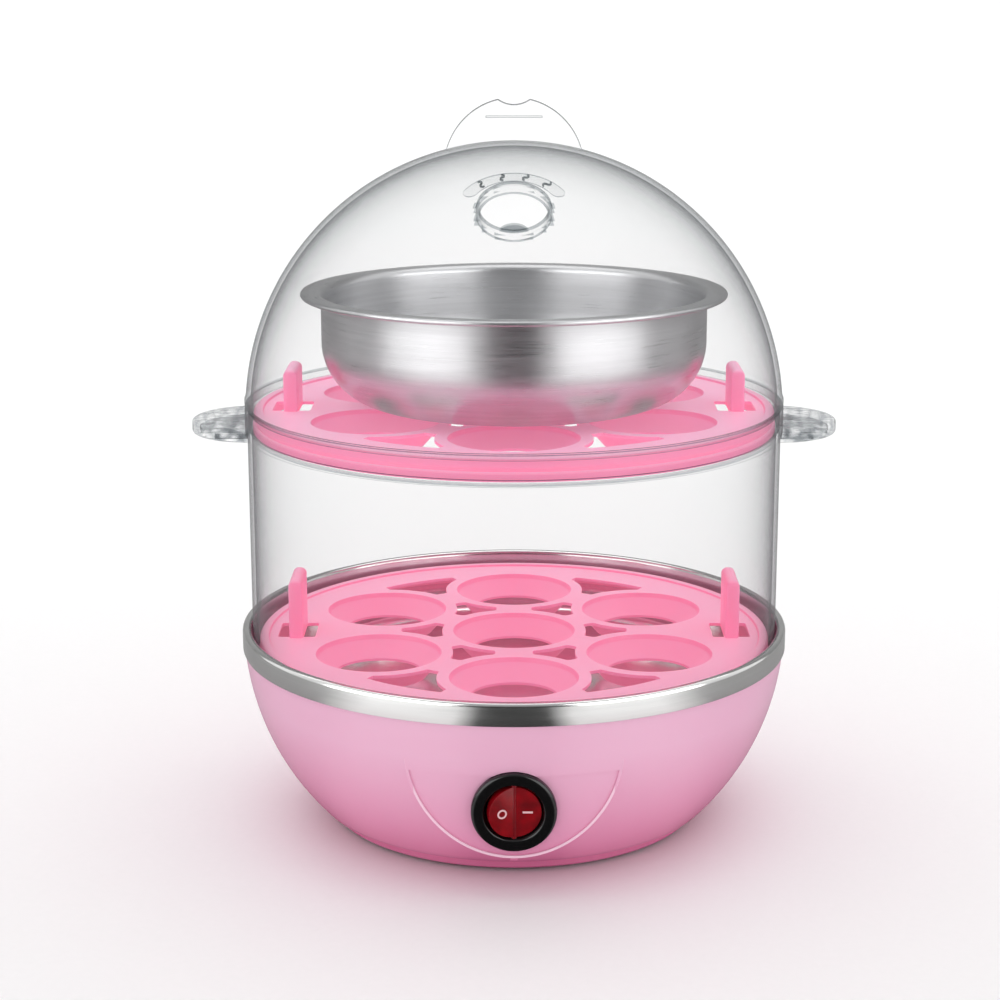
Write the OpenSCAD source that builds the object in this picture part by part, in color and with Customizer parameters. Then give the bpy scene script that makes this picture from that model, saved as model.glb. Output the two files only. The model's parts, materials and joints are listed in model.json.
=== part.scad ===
// Two-tier electric egg cooker: heated base with a seven-egg tray, clear middle
// ring with a second tray, steel steaming bowl and a clear domed lid.
// Millimetres, +Z up, front toward -Y. Origin: on the table, on the centre line.

/* [Rim and base] */
// Outer diameter of the rolled steel rim band
rim_d = 180; // [176:1:186]
// Wall of the moulded base shell
shell_t = 2.2; // [1.8:0.1:2.6]
// Height of the rubber feet under the bottom cover
foot_h = 2.4; // [2:0.1:3]
// Sheet thickness of the pressed water pan
pan_t = 0.5; // [0.4:0.05:0.6]

/* [Trays] */
// Radius of the ring that carries the six outer egg seats
seat_ring_r = 50.5; // [49.5:0.5:51]
// Diameter of an egg seat at the tray surface
seat_d = 40; // [38:0.5:42]
// Diameter of the hole at the bottom of an egg seat
seat_hole_d = 28; // [24:0.5:30]
// Height of the two lifting tabs on the lower tray
tab_h_low = 18; // [10:1:20]
// Height of the two lifting tabs on the upper tray
tab_h_up = 12; // [8:1:14]

/* [Middle ring and lid] */
// Height of the joint face between middle ring and lid
ring_top_z = 139; // [136:1:142]
// Wall of the clear lid
lid_t = 1.6; // [1.4:0.1:2]
// Radius of the upright lid grip
grip_r = 22.4; // [20:0.2:23]
// Diameter of the steam outlet in the lid
outlet_d = 20.5; // [16:0.5:22]
// How far the ring ears reach out from the centre line
ear_reach = 105; // [98:1:108]

/* [Bowl] */
// Outer radius of the bowl body
bowl_r = 62.2; // [58:0.2:63]
// Height of the bowl
bowl_h = 36.2; // [30:0.2:38]
// Radius between the bowl's wall and bottom
bowl_corner = 20; // [12:1:24]
// Outer radius of the flared bowl rim
bowl_rim_r = 68.7; // [65:0.1:69]

/* [Switch] */
// Height of the switch centre above the table
switch_z = 29.5; // [28:0.5:31]
// Diameter of the black switch bezel
bezel_d = 26; // [24:0.5:28]

/* [Hidden] */
$fn = 96;
eps = 0.01;

rim_r = rim_d / 2;
arc_r = 86;
arc_x = rim_r - 86.4;
arc_z = 64.7;
band_z = 57.5;
rim_z = 65;
ledge_z = 55;
stack_gap = 0.3;
floor_z = 42;
foot_ring_r = 61.7;
cover_z = foot_h;
cover_t = 2;
shell_z = 4.6;

ring_out = rim_r - 3.4;
ring_in = ring_out - 1.4;
ring_z = ledge_z + stack_gap;
step_z = ring_top_z - 7.8;
tray_r = ring_in - 0.4;
tray_h = 7;
tray_t = 1.8;
low_z = ledge_z + stack_gap;
up_z = step_z + stack_gap;
bowl_z = up_z + tray_h + stack_gap;
lid_z = ring_top_z + stack_gap;
lid_r = ring_out + 0.5;
lid_drop = 4.1;
lid_c = lid_z - lid_drop;
outlet_tilt = 35.5;
ear_r = 21.5;
ear_t = 4.4;
ear_z = step_z - 2.5;
tab_x = 72;

cover_hole_r = 52;
cover_hole_a = [30, 150, 270];
feet_xy = 35;
boss_x = 64;
stud_x = 14;
plate_z = 37.5;
coil_r = 32;
coil_tube = 3.2;
clip_screw_y = -25.4;
pin_a = 20;

pod_lean = 5.8;
pod_r = 32.8;
pod_c = 46.8;
pod_z = 44.5;
pod_face = rim_r - 2.8;
switch_y = pod_face - (pod_z - switch_z) * tan(pod_lean);
seat_in = 1;
rocker_r = 8.3;
rocker_gap = 0.25;
pivot_in = 0.5;
rocker_half = 10;
gland_y = 81;
gland_z = 24;

// ---------------------------------------------------------------- helpers

// Straight round rod between two points.
module rod(a, b, r, roll = 0) {
  d = b - a;
  l = norm(d);
  translate(a)
    rotate([0, acos(d[2] / l), atan2(d[1], d[0])])
      rotate([0, 0, roll])
        cylinder(h = l, r = r, $fn = 24);
}

// Bent round wire through a list of points, a little fuller at each bend.
// roll turns each straight length about its own axis, to place its seam line.
module wire(pts, r, roll = 0) {
  for (i = [0:len(pts) - 2])
    rod(pts[i], pts[i + 1], r, roll);
  for (i = [1:len(pts) - 2])
    translate(pts[i])
      sphere(r = r * 1.15, $fn = 24);
}

// Half outline of a vessel: straight wall with a rounded bottom corner.
module vessel_half(r, h, f) {
  intersection() {
    union() {
      square([r - f, h]);
      translate([0, f])
        square([r, h - f]);
      translate([r - f, f])
        circle(r = f);
    }
    square([r, h]);
  }
}

// Half outline of the curved shell side, moved inward by o.
module shell_half(o, z0, z1) {
  intersection() {
    translate([arc_x, arc_z])
      circle(r = arc_r - o, $fn = 180);
    translate([0, z0])
      square([rim_r, z1 - z0]);
  }
}

// Local frame of the switch: +Z points out of the front pod.
module at_switch() {
  translate([0, -switch_y, switch_z])
    rotate([90 + pod_lean, 0, 0])
      children();
}

// Local frame of the steam outlet: +Z leaves the lid surface.
module at_outlet() {
  translate([0, 0, lid_c])
    rotate([outlet_tilt, 0, 0])
      translate([0, 0, lid_r])
        children();
}

module ring_of(r, angles) {
  for (a = angles)
    rotate([0, 0, a])
      translate([r, 0, 0])
        children();
}

// ------------------------------------------------------------------ base

// Solid of the rounded pod on the front, o inside its outer skin.
module pod_solid(o) {
  intersection() {
    rotate_extrude($fn = 180)
      polygon([
        [0, 6], [pod_face - o - (pod_z - 6) * tan(pod_lean), 6],
        [pod_face - o + 5 * tan(pod_lean), pod_z + 5], [0, pod_z + 5]
      ]);
    translate([0, -50, pod_c])
      rotate([90, 0, 0])
        cylinder(h = 45, r1 = pod_r + 2 - o, r2 = pod_r - 0.5 - o, $fn = 120);
  }
}

module shell_rib(r0, a, z0, z1) {
  rotate([0, 0, a])
    translate([r0, -1.2, z0])
      cube([30, 2.4, z1 - z0]);
}

module base_shell() {
  color("pink")
    difference() {
      union() {
        difference() {
          union() {
            rotate_extrude($fn = 180) {
              shell_half(0, shell_z, band_z - 0.5);
              translate([0, 1.2])
                square([foot_ring_r, shell_z - 1.2 + eps]);
              translate([0, band_z - 0.5 - eps])
                square([rim_r - 0.8, 4.2]);
            }
            pod_solid(0);
            translate([0, 60, gland_z])
              rotate([-90, 0, 0])
                cylinder(h = gland_y - 60, r = 9);
          }
          rotate_extrude($fn = 180) {
            shell_half(shell_t, shell_z + 2.2, ledge_z - 0.7);
            translate([0, 0])
              square([foot_ring_r - 2.2, shell_z]);
            translate([0, shell_z - eps])
              square([57, 3]);
            translate([0, ledge_z - 0.7 - eps])
              square([rim_r - 2.4, 20]);
          }
          intersection() {
            pod_solid(shell_t);
            translate([-60, -100, 8.2])
              cube([120, 100, 60]);
          }
          translate([0, gland_y, gland_z])
            rotate([-90, 0, 0])
              cylinder(h = 20, r = 9.5);
          translate([0, 40, gland_z])
            rotate([-90, 0, 0])
              cylinder(h = gland_y - 40 - 2.4, r = 6.8);
        }
        intersection() {
          union() {
            ring_of(cover_hole_r, cover_hole_a)
              translate([0, 0, cover_z + cover_t])
                cylinder(h = 11.6, r = 3.6, $fn = 48);
            for (a = cover_hole_a)
              shell_rib(cover_hole_r, a, shell_z + 1, 16);
            for (a = [0, 180]) {
              shell_rib(boss_x, a, 31, 40);
              rotate([0, 0, a])
                translate([boss_x, 0, 31])
                  cylinder(h = 9, r = 4, $fn = 48);
            }
          }
          union() {
            rotate_extrude($fn = 180)
              shell_half(1, shell_z, 50);
            translate([0, 0, 3])
              cylinder(h = 3, r = 59);
          }
        }
      }
      ring_of(cover_hole_r, cover_hole_a)
        translate([0, 0, 3])
          cylinder(h = 10.4, r = 1.45, $fn = 32);
      ring_of(boss_x, [0, 180])
        translate([0, 0, 30])
          cylinder(h = 8.4, r = 1.45, $fn = 32);
      at_switch() {
        translate([0, 0, -seat_in])
          cylinder(h = 10, r = bezel_d / 2 + 0.2);
        translate([0, 0, -12])
          cylinder(h = 20, r = 10.1);
      }
      translate([0, gland_y - 5, gland_z])
        rotate([-90, 0, 0])
          cylinder(h = 10, r = 4.5, $fn = 64);
    }
}

module bottom_cover() {
  lip_z = cover_z + cover_t - 0.5;
  color("pink")
    difference() {
      union() {
        translate([0, 0, cover_z])
          cylinder(h = cover_t, r = foot_ring_r - 2.5, $fn = 180);
        difference() {
          translate([0, 0, lip_z])
            cylinder(h = 3, r = 56.6, $fn = 180);
          translate([0, 0, lip_z - 1])
            cylinder(h = 5, r = 55.2, $fn = 180);
          ring_of(cover_hole_r, cover_hole_a)
            translate([0, 0, lip_z - 1])
              cylinder(h = 5, r = 6.4, $fn = 48);
        }
      }
      ring_of(cover_hole_r, cover_hole_a)
        cylinder(h = 10, r = 1.6, $fn = 32);
      ring_of(feet_xy * sqrt(2), [45, 135, 225, 315])
        cylinder(h = 10, r = 3, $fn = 32);
      for (i = [-3:3])
        translate([i * 6 - 1.2, -15, 0])
          cube([2.4, 30, 10]);
    }
}

module rubber_feet() {
  color("dimgray")
    ring_of(feet_xy * sqrt(2), [45, 135, 225, 315]) {
      cylinder(h = foot_h - 1, r1 = 6.4, r2 = 7, $fn = 48);
      translate([0, 0, foot_h - 1])
        cylinder(h = 1, r = 7, $fn = 48);
      translate([0, 0, foot_h])
        cylinder(h = cover_t, r = 2.98, $fn = 32);
      translate([0, 0, foot_h + cover_t])
        cylinder(h = 1.6, r1 = 4.2, r2 = 3, $fn = 32);
    }
}

// Pan-head screw with its seat at z = 0, shank pointing up.
module screw_up(head_r, head_h, r, l) {
  difference() {
    translate([0, 0, -head_h])
      cylinder(h = head_h, r = head_r, $fn = 32);
    for (a = [0, 90])
      rotate([0, 0, a])
        translate([-head_r * 0.6, -0.35, -head_h - 1])
          cube([head_r * 1.2, 0.7, 1 + head_h * 0.5]);
  }
  cylinder(h = l, r = r, $fn = 32);
}

module cover_screws() {
  color("silver")
    ring_of(cover_hole_r, cover_hole_a)
      translate([0, 0, cover_z])
        screw_up(3, 1.4, 1.4, 10);
}

module water_pan() {
  color("lightgray") {
    rotate_extrude($fn = 180) {
      difference() {
        translate([0, floor_z])
          vessel_half(76.5, ledge_z - floor_z, 6);
        translate([0, floor_z + pan_t])
          vessel_half(76.5 - pan_t, 30, 6 - pan_t);
      }
      translate([76.5 - pan_t, ledge_z - pan_t])
        square([rim_r - 78.5 - 0.5 + pan_t * 2 - 0.5, pan_t]);
      translate([rim_r - 3, ledge_z - pan_t])
        square([pan_t, rim_z - 1.5 - ledge_z + pan_t + eps]);
      intersection() {
        translate([rim_r - 1.5, rim_z - 1.5])
          difference() {
            circle(r = 1.5, $fn = 48);
            circle(r = 1.5 - pan_t, $fn = 48);
          }
        translate([rim_r - 4, rim_z - 1.5])
          square([5, 3]);
      }
      translate([rim_r - pan_t, band_z])
        square([pan_t, rim_z - 1.5 - band_z + eps]);
    }
    ring_of(stud_x, [0, 180])
      translate([0, 0, 31])
        cylinder(h = floor_z - 31 + 0.2, r = 2, $fn = 32);
  }
}

module pan_gasket() {
  color("gainsboro")
    rotate_extrude($fn = 180)
      translate([rim_r - 2.3, band_z + 3.8])
        square([1.5, 1.1]);
}

// --------------------------------------------------------------- heating

module coil(r) {
  rotate([0, 0, 90 + pin_a])
    rotate_extrude(angle = 360 - 2 * pin_a, $fn = 120)
      translate([coil_r, 0])
        circle(r = r, $fn = 32);
}

module heater_plate() {
  color("silver")
    difference() {
      translate([0, 0, plate_z])
        cylinder(h = floor_z - plate_z, r = 42, $fn = 120);
      translate([0, 0, plate_z])
        coil(coil_tube + 0.02);
      for (a = [90 - pin_a, 90 + pin_a])
        rotate([0, 0, a])
          translate([coil_r, 0, plate_z - 1])
            cylinder(h = 4.4, r = coil_tube + 0.2, $fn = 32);
      ring_of(stud_x, [0, 180])
        translate([0, 0, plate_z - 1])
          cylinder(h = 10, r = 2.3, $fn = 32);
      for (p = [[-11, 20], [11, 20], [0, clip_screw_y]])
        translate([p[0], p[1], plate_z - 1])
          cylinder(h = 4.6, r = 1.45, $fn = 32);
    }
}

module heater_element() {
  color("gray") {
    translate([0, 0, plate_z])
      coil(coil_tube);
    for (a = [90 - pin_a, 90 + pin_a])
      rotate([0, 0, a])
        translate([coil_r, 0, 0]) {
          translate([0, 0, 30])
            cylinder(h = plate_z - 30 + 2, r = coil_tube, $fn = 32);
          translate([0, 0, 24])
            cylinder(h = 7, r = 1.5, $fn = 24);
        }
  }
}

module pan_bracket() {
  color("darkgray")
    difference() {
      translate([0, 7, 0])
        rotate([90, 0, 0])
          linear_extrude(14)
            polygon([
              [-69, 29.5], [-27, 29.5], [-20, 36], [20, 36], [27, 29.5], [69, 29.5],
              [69, 31], [27.6, 31], [20.6, 37.5], [-20.6, 37.5], [-27.6, 31], [-69, 31]
            ]);
      ring_of(stud_x, [0, 180])
        translate([0, 0, 30])
          cylinder(h = 10, r = 2.2, $fn = 32);
      ring_of(boss_x, [0, 180])
        translate([0, 0, 25])
          cylinder(h = 10, r = 1.7, $fn = 32);
    }
}

module bracket_screws() {
  color("silver")
    ring_of(boss_x, [0, 180])
      translate([0, 0, 28.7])
        screw_up(3.2, 2, 1.4, 8.8);
}

module stud_nuts() {
  color("silver")
    ring_of(stud_x, [0, 180])
      translate([0, 0, 32.8])
        difference() {
          cylinder(h = 3.2, r = 4.04, $fn = 6);
          translate([0, 0, -1])
            cylinder(h = 6, r = 2.03, $fn = 32);
        }
}

module strap_washer() {
  color("silver")
    translate([boss_x, 0, 28.7])
      difference() {
        cylinder(h = 0.8, r = 4.2, $fn = 48);
        translate([0, 0, -1])
          cylinder(h = 3, r = 1.6, $fn = 32);
      }
}

module earth_tag() {
  color("gold")
    translate([-boss_x, 0, 28.7])
      difference() {
        union() {
          cylinder(h = 0.8, r = 4.2, $fn = 48);
          translate([-1.6, 0, 0])
            cube([3.2, 10, 0.8]);
        }
        translate([0, 0, -1])
          cylinder(h = 3, r = 1.6, $fn = 32);
      }
}

module thermostat() {
  color("tan")
    translate([0, 20, 0]) {
      translate([0, 0, 34])
        cylinder(h = plate_z - 34, r = 8, $fn = 48);
      difference() {
        translate([-14, -3.5, plate_z - 1])
          cube([28, 7, 1]);
        for (x = [-11, 11])
          translate([x, 0, 30])
            cylinder(h = 10, r = 1.6, $fn = 32);
      }
      translate([0, 0, 26])
        cylinder(h = 8, r = 6.8, $fn = 48);
      for (x = [-4, 4])
        translate([x - 0.4, -3, 19])
          cube([0.8, 6, 7.2]);
    }
}

module thermal_fuse() {
  color("ivory")
    translate([0, -20, plate_z - 2.9]) {
      rod([-7, 0, 0], [7, 0, 0], 2.2);
      rod([-13, 0, 0], [13, 0, 0], 0.5);
    }
}

module fuse_clip() {
  color("silver")
    difference() {
      union() {
        translate([-3, -20, plate_z - 2.9])
          rotate([90, 0, 90])
            linear_extrude(6)
              difference() {
                union() {
                  circle(r = 2.9, $fn = 32);
                  translate([-2.9, 0])
                    square([5.8, 2.9]);
                }
                circle(r = 2.22, $fn = 32);
                translate([-2.22, 0])
                  square([4.44, 5]);
              }
        translate([-3, -28.2, plate_z - 0.7])
          cube([6, 5.5, 0.7]);
      }
      translate([0, clip_screw_y, 30])
        cylinder(h = 10, r = 1.6, $fn = 32);
    }
}

module plate_screws() {
  color("silver") {
    for (x = [-11, 11])
      translate([x, 20, plate_z - 1])
        screw_up(2.4, 1.6, 1.4, 4.4);
    translate([0, clip_screw_y, plate_z - 0.7])
      screw_up(2.1, 1.4, 1.4, 4.1);
  }
}

// ---------------------------------------------------------------- switch

module blade_slots(g) {
  for (x = [-5, 0, 5])
    translate([x - 2.4 * (x == 0 ? 1 : 0) - 0.4 * (x == 0 ? 0 : 1) - g, (x == 0 ? -6.4 : -2.4) - g, -25])
      cube([(x == 0 ? 4.8 : 0.8) + 2 * g, (x == 0 ? 0.8 : 4.8) + 2 * g, 12]);
}

module switch_body() {
  color("black")
    at_switch()
      difference() {
        union() {
          translate([0, 0, -seat_in])
            cylinder(h = 1.6, r = bezel_d / 2);
          translate([0, 0, 0.6 - eps])
            cylinder(h = 0.9, r1 = bezel_d / 2, r2 = bezel_d / 2 - 1.6);
          translate([0, 0, -17])
            cylinder(h = 17, r = 10);
          for (s = [-1, 1])
            translate([s * 10 - 0.7, -2.5, -10])
              cube([1.4, 5, 5]);
        }
        translate([0, 0, -13])
          cylinder(h = 20, r = rocker_r + rocker_gap);
        translate([0, 0, -pivot_in])
          rotate([90, 0, 0])
            cylinder(h = 19.2, r = 1.05, center = true, $fn = 32);
        blade_slots(0.02);
      }
}

module switch_terminals() {
  color("gold")
    at_switch()
      intersection() {
        blade_slots(0);
        translate([-20, -20, -25])
          cube([40, 40, 12]);
      }
}

module neon_lamp() {
  color("orange")
    at_switch()
      translate([0, 0, -11])
        rod([0, -4.5, 0], [0, 4.5, 0], 1.7);
}

module switch_rocker() {
  color("red")
    at_switch()
      translate([0, 0, -pivot_in])
        rotate([0, rocker_half, 0]) {
          difference() {
            intersection() {
              sphere(r = rocker_r, $fn = 96);
              translate([0, 0, -5])
                cylinder(h = 12, r = 9);
            }
            for (s = [-1, 1])
              translate([0, 0, 0.9])
                rotate([0, -s * rocker_half, 0])
                  translate([s == 1 ? -0.05 : -12, -12, 0])
                    cube([12.05, 24, 12]);
          }
          rotate([90, 0, 0])
            cylinder(h = 18.8, r = 1, center = true, $fn = 32);
          translate([0, 0, -7.4])
            cylinder(h = 3, r = 1.5, $fn = 32);
        }
}

// ------------------------------------------------------------ cord entry

module cord_gland() {
  color("black")
    translate([0, gland_y, gland_z])
      rotate([-90, 0, 0])
        difference() {
          union() {
            translate([0, 0, -9])
              cylinder(h = 6.6, r = 6, $fn = 64);
            translate([0, 0, -2.4 - eps])
              cylinder(h = 2.4 + 2 * eps, r = 4.48, $fn = 64);
            cylinder(h = 1.8, r = 6.4, $fn = 64);
            translate([0, 0, 1.8 - eps])
              cylinder(h = 6.2, r1 = 4.6, r2 = 4, $fn = 64);
          }
          translate([0, 0, -10])
            cylinder(h = 30, r = 3.1, $fn = 64);
        }
}

module crimp_caps() {
  color("white")
    for (p = [[-12, 12], [0, 14], [12, 14]])
      translate([p[0], 52, p[1]])
        rotate([-90, 0, 0])
          cylinder(h = 12, r1 = 2.1, r2 = 2.5, $fn = 32);
}

function blade_tip(x) = [x, -switch_y + 25.6 * cos(pod_lean), switch_z + 25.6 * sin(pod_lean)];

module wire_live() {
  color("saddlebrown")
    wire([[12, 51, 14], [28, 36, 13], [36, 6, 12], [34, -18, 14], [20, -45, 22],
      blade_tip(5) + [1, 1, 0]], 1.1);
}

module wire_switched() {
  color("black")
    wire([blade_tip(-5) + [-1, 1, 0], [-14, -46, 20], [-18, -18, 14], [-10, 8, 14],
      [-4, 20, 17.6]], 1.1);
}

module wire_fuse() {
  color("black")
    wire([[4, 20, 17.6], [12, 8, 18], [16, -8, 24], [14.6, -19.8, 33.2]], 1.1);
}

module wire_heater() {
  color("black")
    wire([[-14.6, -19.8, 33.2], [-23, -8, 22], [-23, 14, 20], [-11.2, 29.8, 22.6]], 1.1);
}

module wire_neutral() {
  color("royalblue")
    wire([[0, 51.3, 14], [6, 42, 15], [10.9, 31, 22.2]], 1.1);
}

module wire_earth() {
  color("green")
    wire([[-12, 50.8, 12], [-22, 46, 12.5], [-46, 31, 21], [-63.4, 11.6, 28.2]], 1.1,
      roll = 90);
}

// ----------------------------------------------------------------- trays

seat_angles = [30, 90, 150, 210, 270, 330];

module at_seats() {
  children();
  ring_of(seat_ring_r, seat_angles)
    children();
}

// Curved triangle between three neighbouring seats.
module inner_vent() {
  difference() {
    translate([seat_ring_r * 0.577, 0])
      circle(r = 8.5, $fn = 48);
    circle(r = seat_d / 2 + 4);
    rotate([0, 0, 30])
      translate([seat_ring_r, 0])
        circle(r = seat_d / 2 + 4);
    rotate([0, 0, -30])
      translate([seat_ring_r, 0])
        circle(r = seat_d / 2 + 4);
  }
}

// Curved opening outside two neighbouring seats.
module outer_vent() {
  difference() {
    intersection() {
      circle(r = 69.5, $fn = 120);
      polygon([[0, 0], [90, 90 * tan(11.5)], [90, -90 * tan(11.5)]]);
    }
    circle(r = 51, $fn = 120);
    for (a = [-30, 30])
      rotate([0, 0, a])
        translate([seat_ring_r, 0])
          circle(r = seat_d / 2 + 4.2);
  }
}

module tray(tab_h) {
  cone_h = 8;
  difference() {
    union() {
      translate([0, 0, tray_h - tray_t])
        cylinder(h = tray_t, r = tray_r - 0.4, $fn = 180);
      difference() {
        union() {
          cylinder(h = 2.8, r = tray_r, $fn = 180);
          translate([0, 0, 2.8 - eps])
            cylinder(h = 1.2, r = tray_r - 1, $fn = 180);
          translate([0, 0, 4 - 2 * eps])
            cylinder(h = tray_h - 4 - 0.6, r = tray_r - 0.4, $fn = 180);
        }
        translate([0, 0, -1])
          cylinder(h = tray_h + 2, r = tray_r - 2.6, $fn = 180);
      }
      translate([0, 0, tray_h - cone_h])
        at_seats()
          cylinder(h = cone_h - 0.5, r1 = seat_hole_d / 2 + 1.6, r2 = seat_d / 2 + 1.6);
      for (s = [-1, 1])
        translate([s * tab_x - 2.2, -9.6, tray_h - tray_t]) {
          cube([4.4, 19.2, tray_t + tab_h - 3]);
          translate([0, 3, 0])
            cube([4.4, 13.2, tray_t + tab_h]);
          for (y = [3, 16.2])
            translate([0, y, tray_t + tab_h - 3])
              rotate([0, 90, 0])
                cylinder(h = 4.4, r = 3, $fn = 32);
        }
    }
    translate([0, 0, tray_h - cone_h])
      at_seats()
        cylinder(h = cone_h + eps, r1 = seat_hole_d / 2, r2 = seat_d / 2);
    at_seats()
      translate([0, 0, -cone_h])
        cylinder(h = 20, r = seat_hole_d / 2);
    translate([0, 0, -1])
      linear_extrude(tray_h + 2) {
        for (a = [0:60:300])
          rotate([0, 0, a])
            inner_vent();
        for (a = [60, 120, 240, 300])
          rotate([0, 0, a])
            outer_vent();
      }
    for (s = [-1, 1])
      for (x = [-6.2, 2.2])
        translate([s * tab_x + x, -8, 1])
          cube([4, 16, tray_h]);
  }
}

module lower_tray() {
  color("hotpink")
    translate([0, 0, low_z])
      tray(tab_h_low);
}

module upper_tray() {
  color("hotpink")
    translate([0, 0, up_z])
      tray(tab_h_up);
}

// -------------------------------------------------- ring, bowl and lid

// Flat rounded ear with a rim and three ribs underneath.
module ear() {
  c = ear_reach - ear_r;
  difference() {
    translate([c, 0, ear_z])
      cylinder(h = ear_t, r = ear_r);
    translate([c, 0, ear_z - 1])
      difference() {
        cylinder(h = ear_t - 0.8, r = ear_r - 2);
        for (y = [-10, 0, 10])
          translate([-30, y - 0.9, -1])
            cube([60, 1.8, 10]);
      }
    translate([0, 0, ear_z - 5])
      cylinder(h = 20, r = ring_out - 0.7, $fn = 180);
  }
}

module middle_ring() {
  color("azure", 0.35) {
    rotate_extrude($fn = 180)
      polygon([
        [ring_in, ring_z], [ring_out, ring_z], [ring_out, step_z - 2.2],
        [ring_out + 0.7, step_z - 1.4], [ring_out + 0.7, ring_top_z],
        [ring_in + 1, ring_top_z], [ring_in + 1, step_z], [ring_in - 2, step_z],
        [ring_in - 2, step_z - 1.4], [ring_in, step_z - 1.4]
      ]);
    ear();
    mirror([1, 0, 0])
      ear();
  }
}

module steam_bowl() {
  color("gainsboro")
    translate([0, 0, bowl_z])
      rotate_extrude($fn = 180) {
        difference() {
          vessel_half(bowl_r, bowl_h, bowl_corner);
          translate([0, 0.7])
            vessel_half(bowl_r - 0.7, bowl_h, bowl_corner - 0.7);
        }
        translate([bowl_r - 0.5, bowl_h - 0.7])
          square([bowl_rim_r - bowl_r - 0.2, 0.7]);
        translate([bowl_rim_r - 0.7, bowl_h - 0.7])
          circle(r = 0.7, $fn = 32);
      }
}

module dome_half(r) {
  intersection() {
    translate([0, lid_c])
      circle(r = r, $fn = 240);
    translate([0, lid_z])
      square([120, 120]);
  }
}

module outlet_tongue() {
  intersection() {
    cylinder(h = 1, r = outlet_d / 2 + 0.3, $fn = 64);
    translate([0, -outlet_d / 2 - 1.5, -1])
      cylinder(h = 3, r = 5, $fn = 48);
  }
}

// Raised outline of the curved caution panel above the steam outlet.
module outlet_panel() {
  intersection() {
    difference() {
      cylinder(h = 20, r = 18, $fn = 120);
      translate([0, 0, -1])
        cylinder(h = 22, r = 13.5, $fn = 120);
      difference() {
        translate([0, 0, -1])
          cylinder(h = 22, r = 17.5, $fn = 120);
        translate([0, 0, -2])
          cylinder(h = 24, r = 14, $fn = 120);
      }
    }
    linear_extrude(20)
      polygon([[0, 0], [30 * sin(-58), 30 * cos(58)], [0, 40], [30 * sin(58), 30 * cos(58)]]);
  }
}

module dome_lid() {
  color("azure", 0.35)
    difference() {
      union() {
        rotate_extrude($fn = 240) {
          difference() {
            dome_half(lid_r);
            dome_half(lid_r - lid_t);
          }
          translate([ring_in - 0.1, ring_top_z - 2])
            square([0.8, 2 + stack_gap + 1]);
          translate([lid_r - lid_t, lid_z])
            square([lid_t + 0.2, 2]);
        }
        difference() {
          union() {
            translate([0, 2, 236 - grip_r])
              rotate([90, 0, 0])
                cylinder(h = 4, r = grip_r);
            translate([-9, -2.4, 229.6])
              cube([18, 1, 0.8]);
          }
          translate([0, 0, lid_c])
            sphere(r = lid_r - 0.6, $fn = 180);
          translate([-4.65, -5, 234.5])
            cube([9.3, 10, 5]);
        }
        difference() {
          at_outlet() {
            translate([0, 0, -3])
              cylinder(h = 4.2, r = outlet_d / 2 + 1);
            translate([0, 0, -6])
              outlet_panel();
          }
          translate([0, 0, lid_c])
            sphere(r = lid_r - lid_t, $fn = 180);
          translate([0, 0, lid_c])
            difference() {
              sphere(r = lid_r + 30, $fn = 120);
              sphere(r = lid_r + 0.35, $fn = 180);
              rotate([outlet_tilt, 0, 0])
                cylinder(h = 200, r = outlet_d / 2 + 1.05);
            }
        }
      }
      at_outlet()
        difference() {
          translate([0, 0, -10])
            cylinder(h = 20, r = outlet_d / 2);
          outlet_tongue();
        }
    }
}

// --------------------------------------------------------------- assembly
base_shell();
bottom_cover();
rubber_feet();
cover_screws();
water_pan();
pan_gasket();
heater_plate();
heater_element();
pan_bracket();
bracket_screws();
stud_nuts();
strap_washer();
earth_tag();
thermostat();
thermal_fuse();
fuse_clip();
plate_screws();
switch_body();
switch_terminals();
neon_lamp();
switch_rocker();
cord_gland();
crimp_caps();
wire_live();
wire_switched();
wire_fuse();
wire_heater();
wire_neutral();
wire_earth();
lower_tray();
middle_ring();
upper_tray();
steam_bowl();
dome_lid();
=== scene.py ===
# %% [markdown]
# # Two-tier egg cooker
# The real cooker is a pink heated base with a spun steel pan, two moulded egg trays, a
# clear ring, a steel bowl and a clear dome. Nearly every piece is round about one upright
# line, so most of them are turned on a lathe here, as their moulds and dies were.
# The script loads the engineering model, makes a finer piece for what is seen, and ends
# with a studio and a camera.

# %% Load the frame
import json
import math

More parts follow.
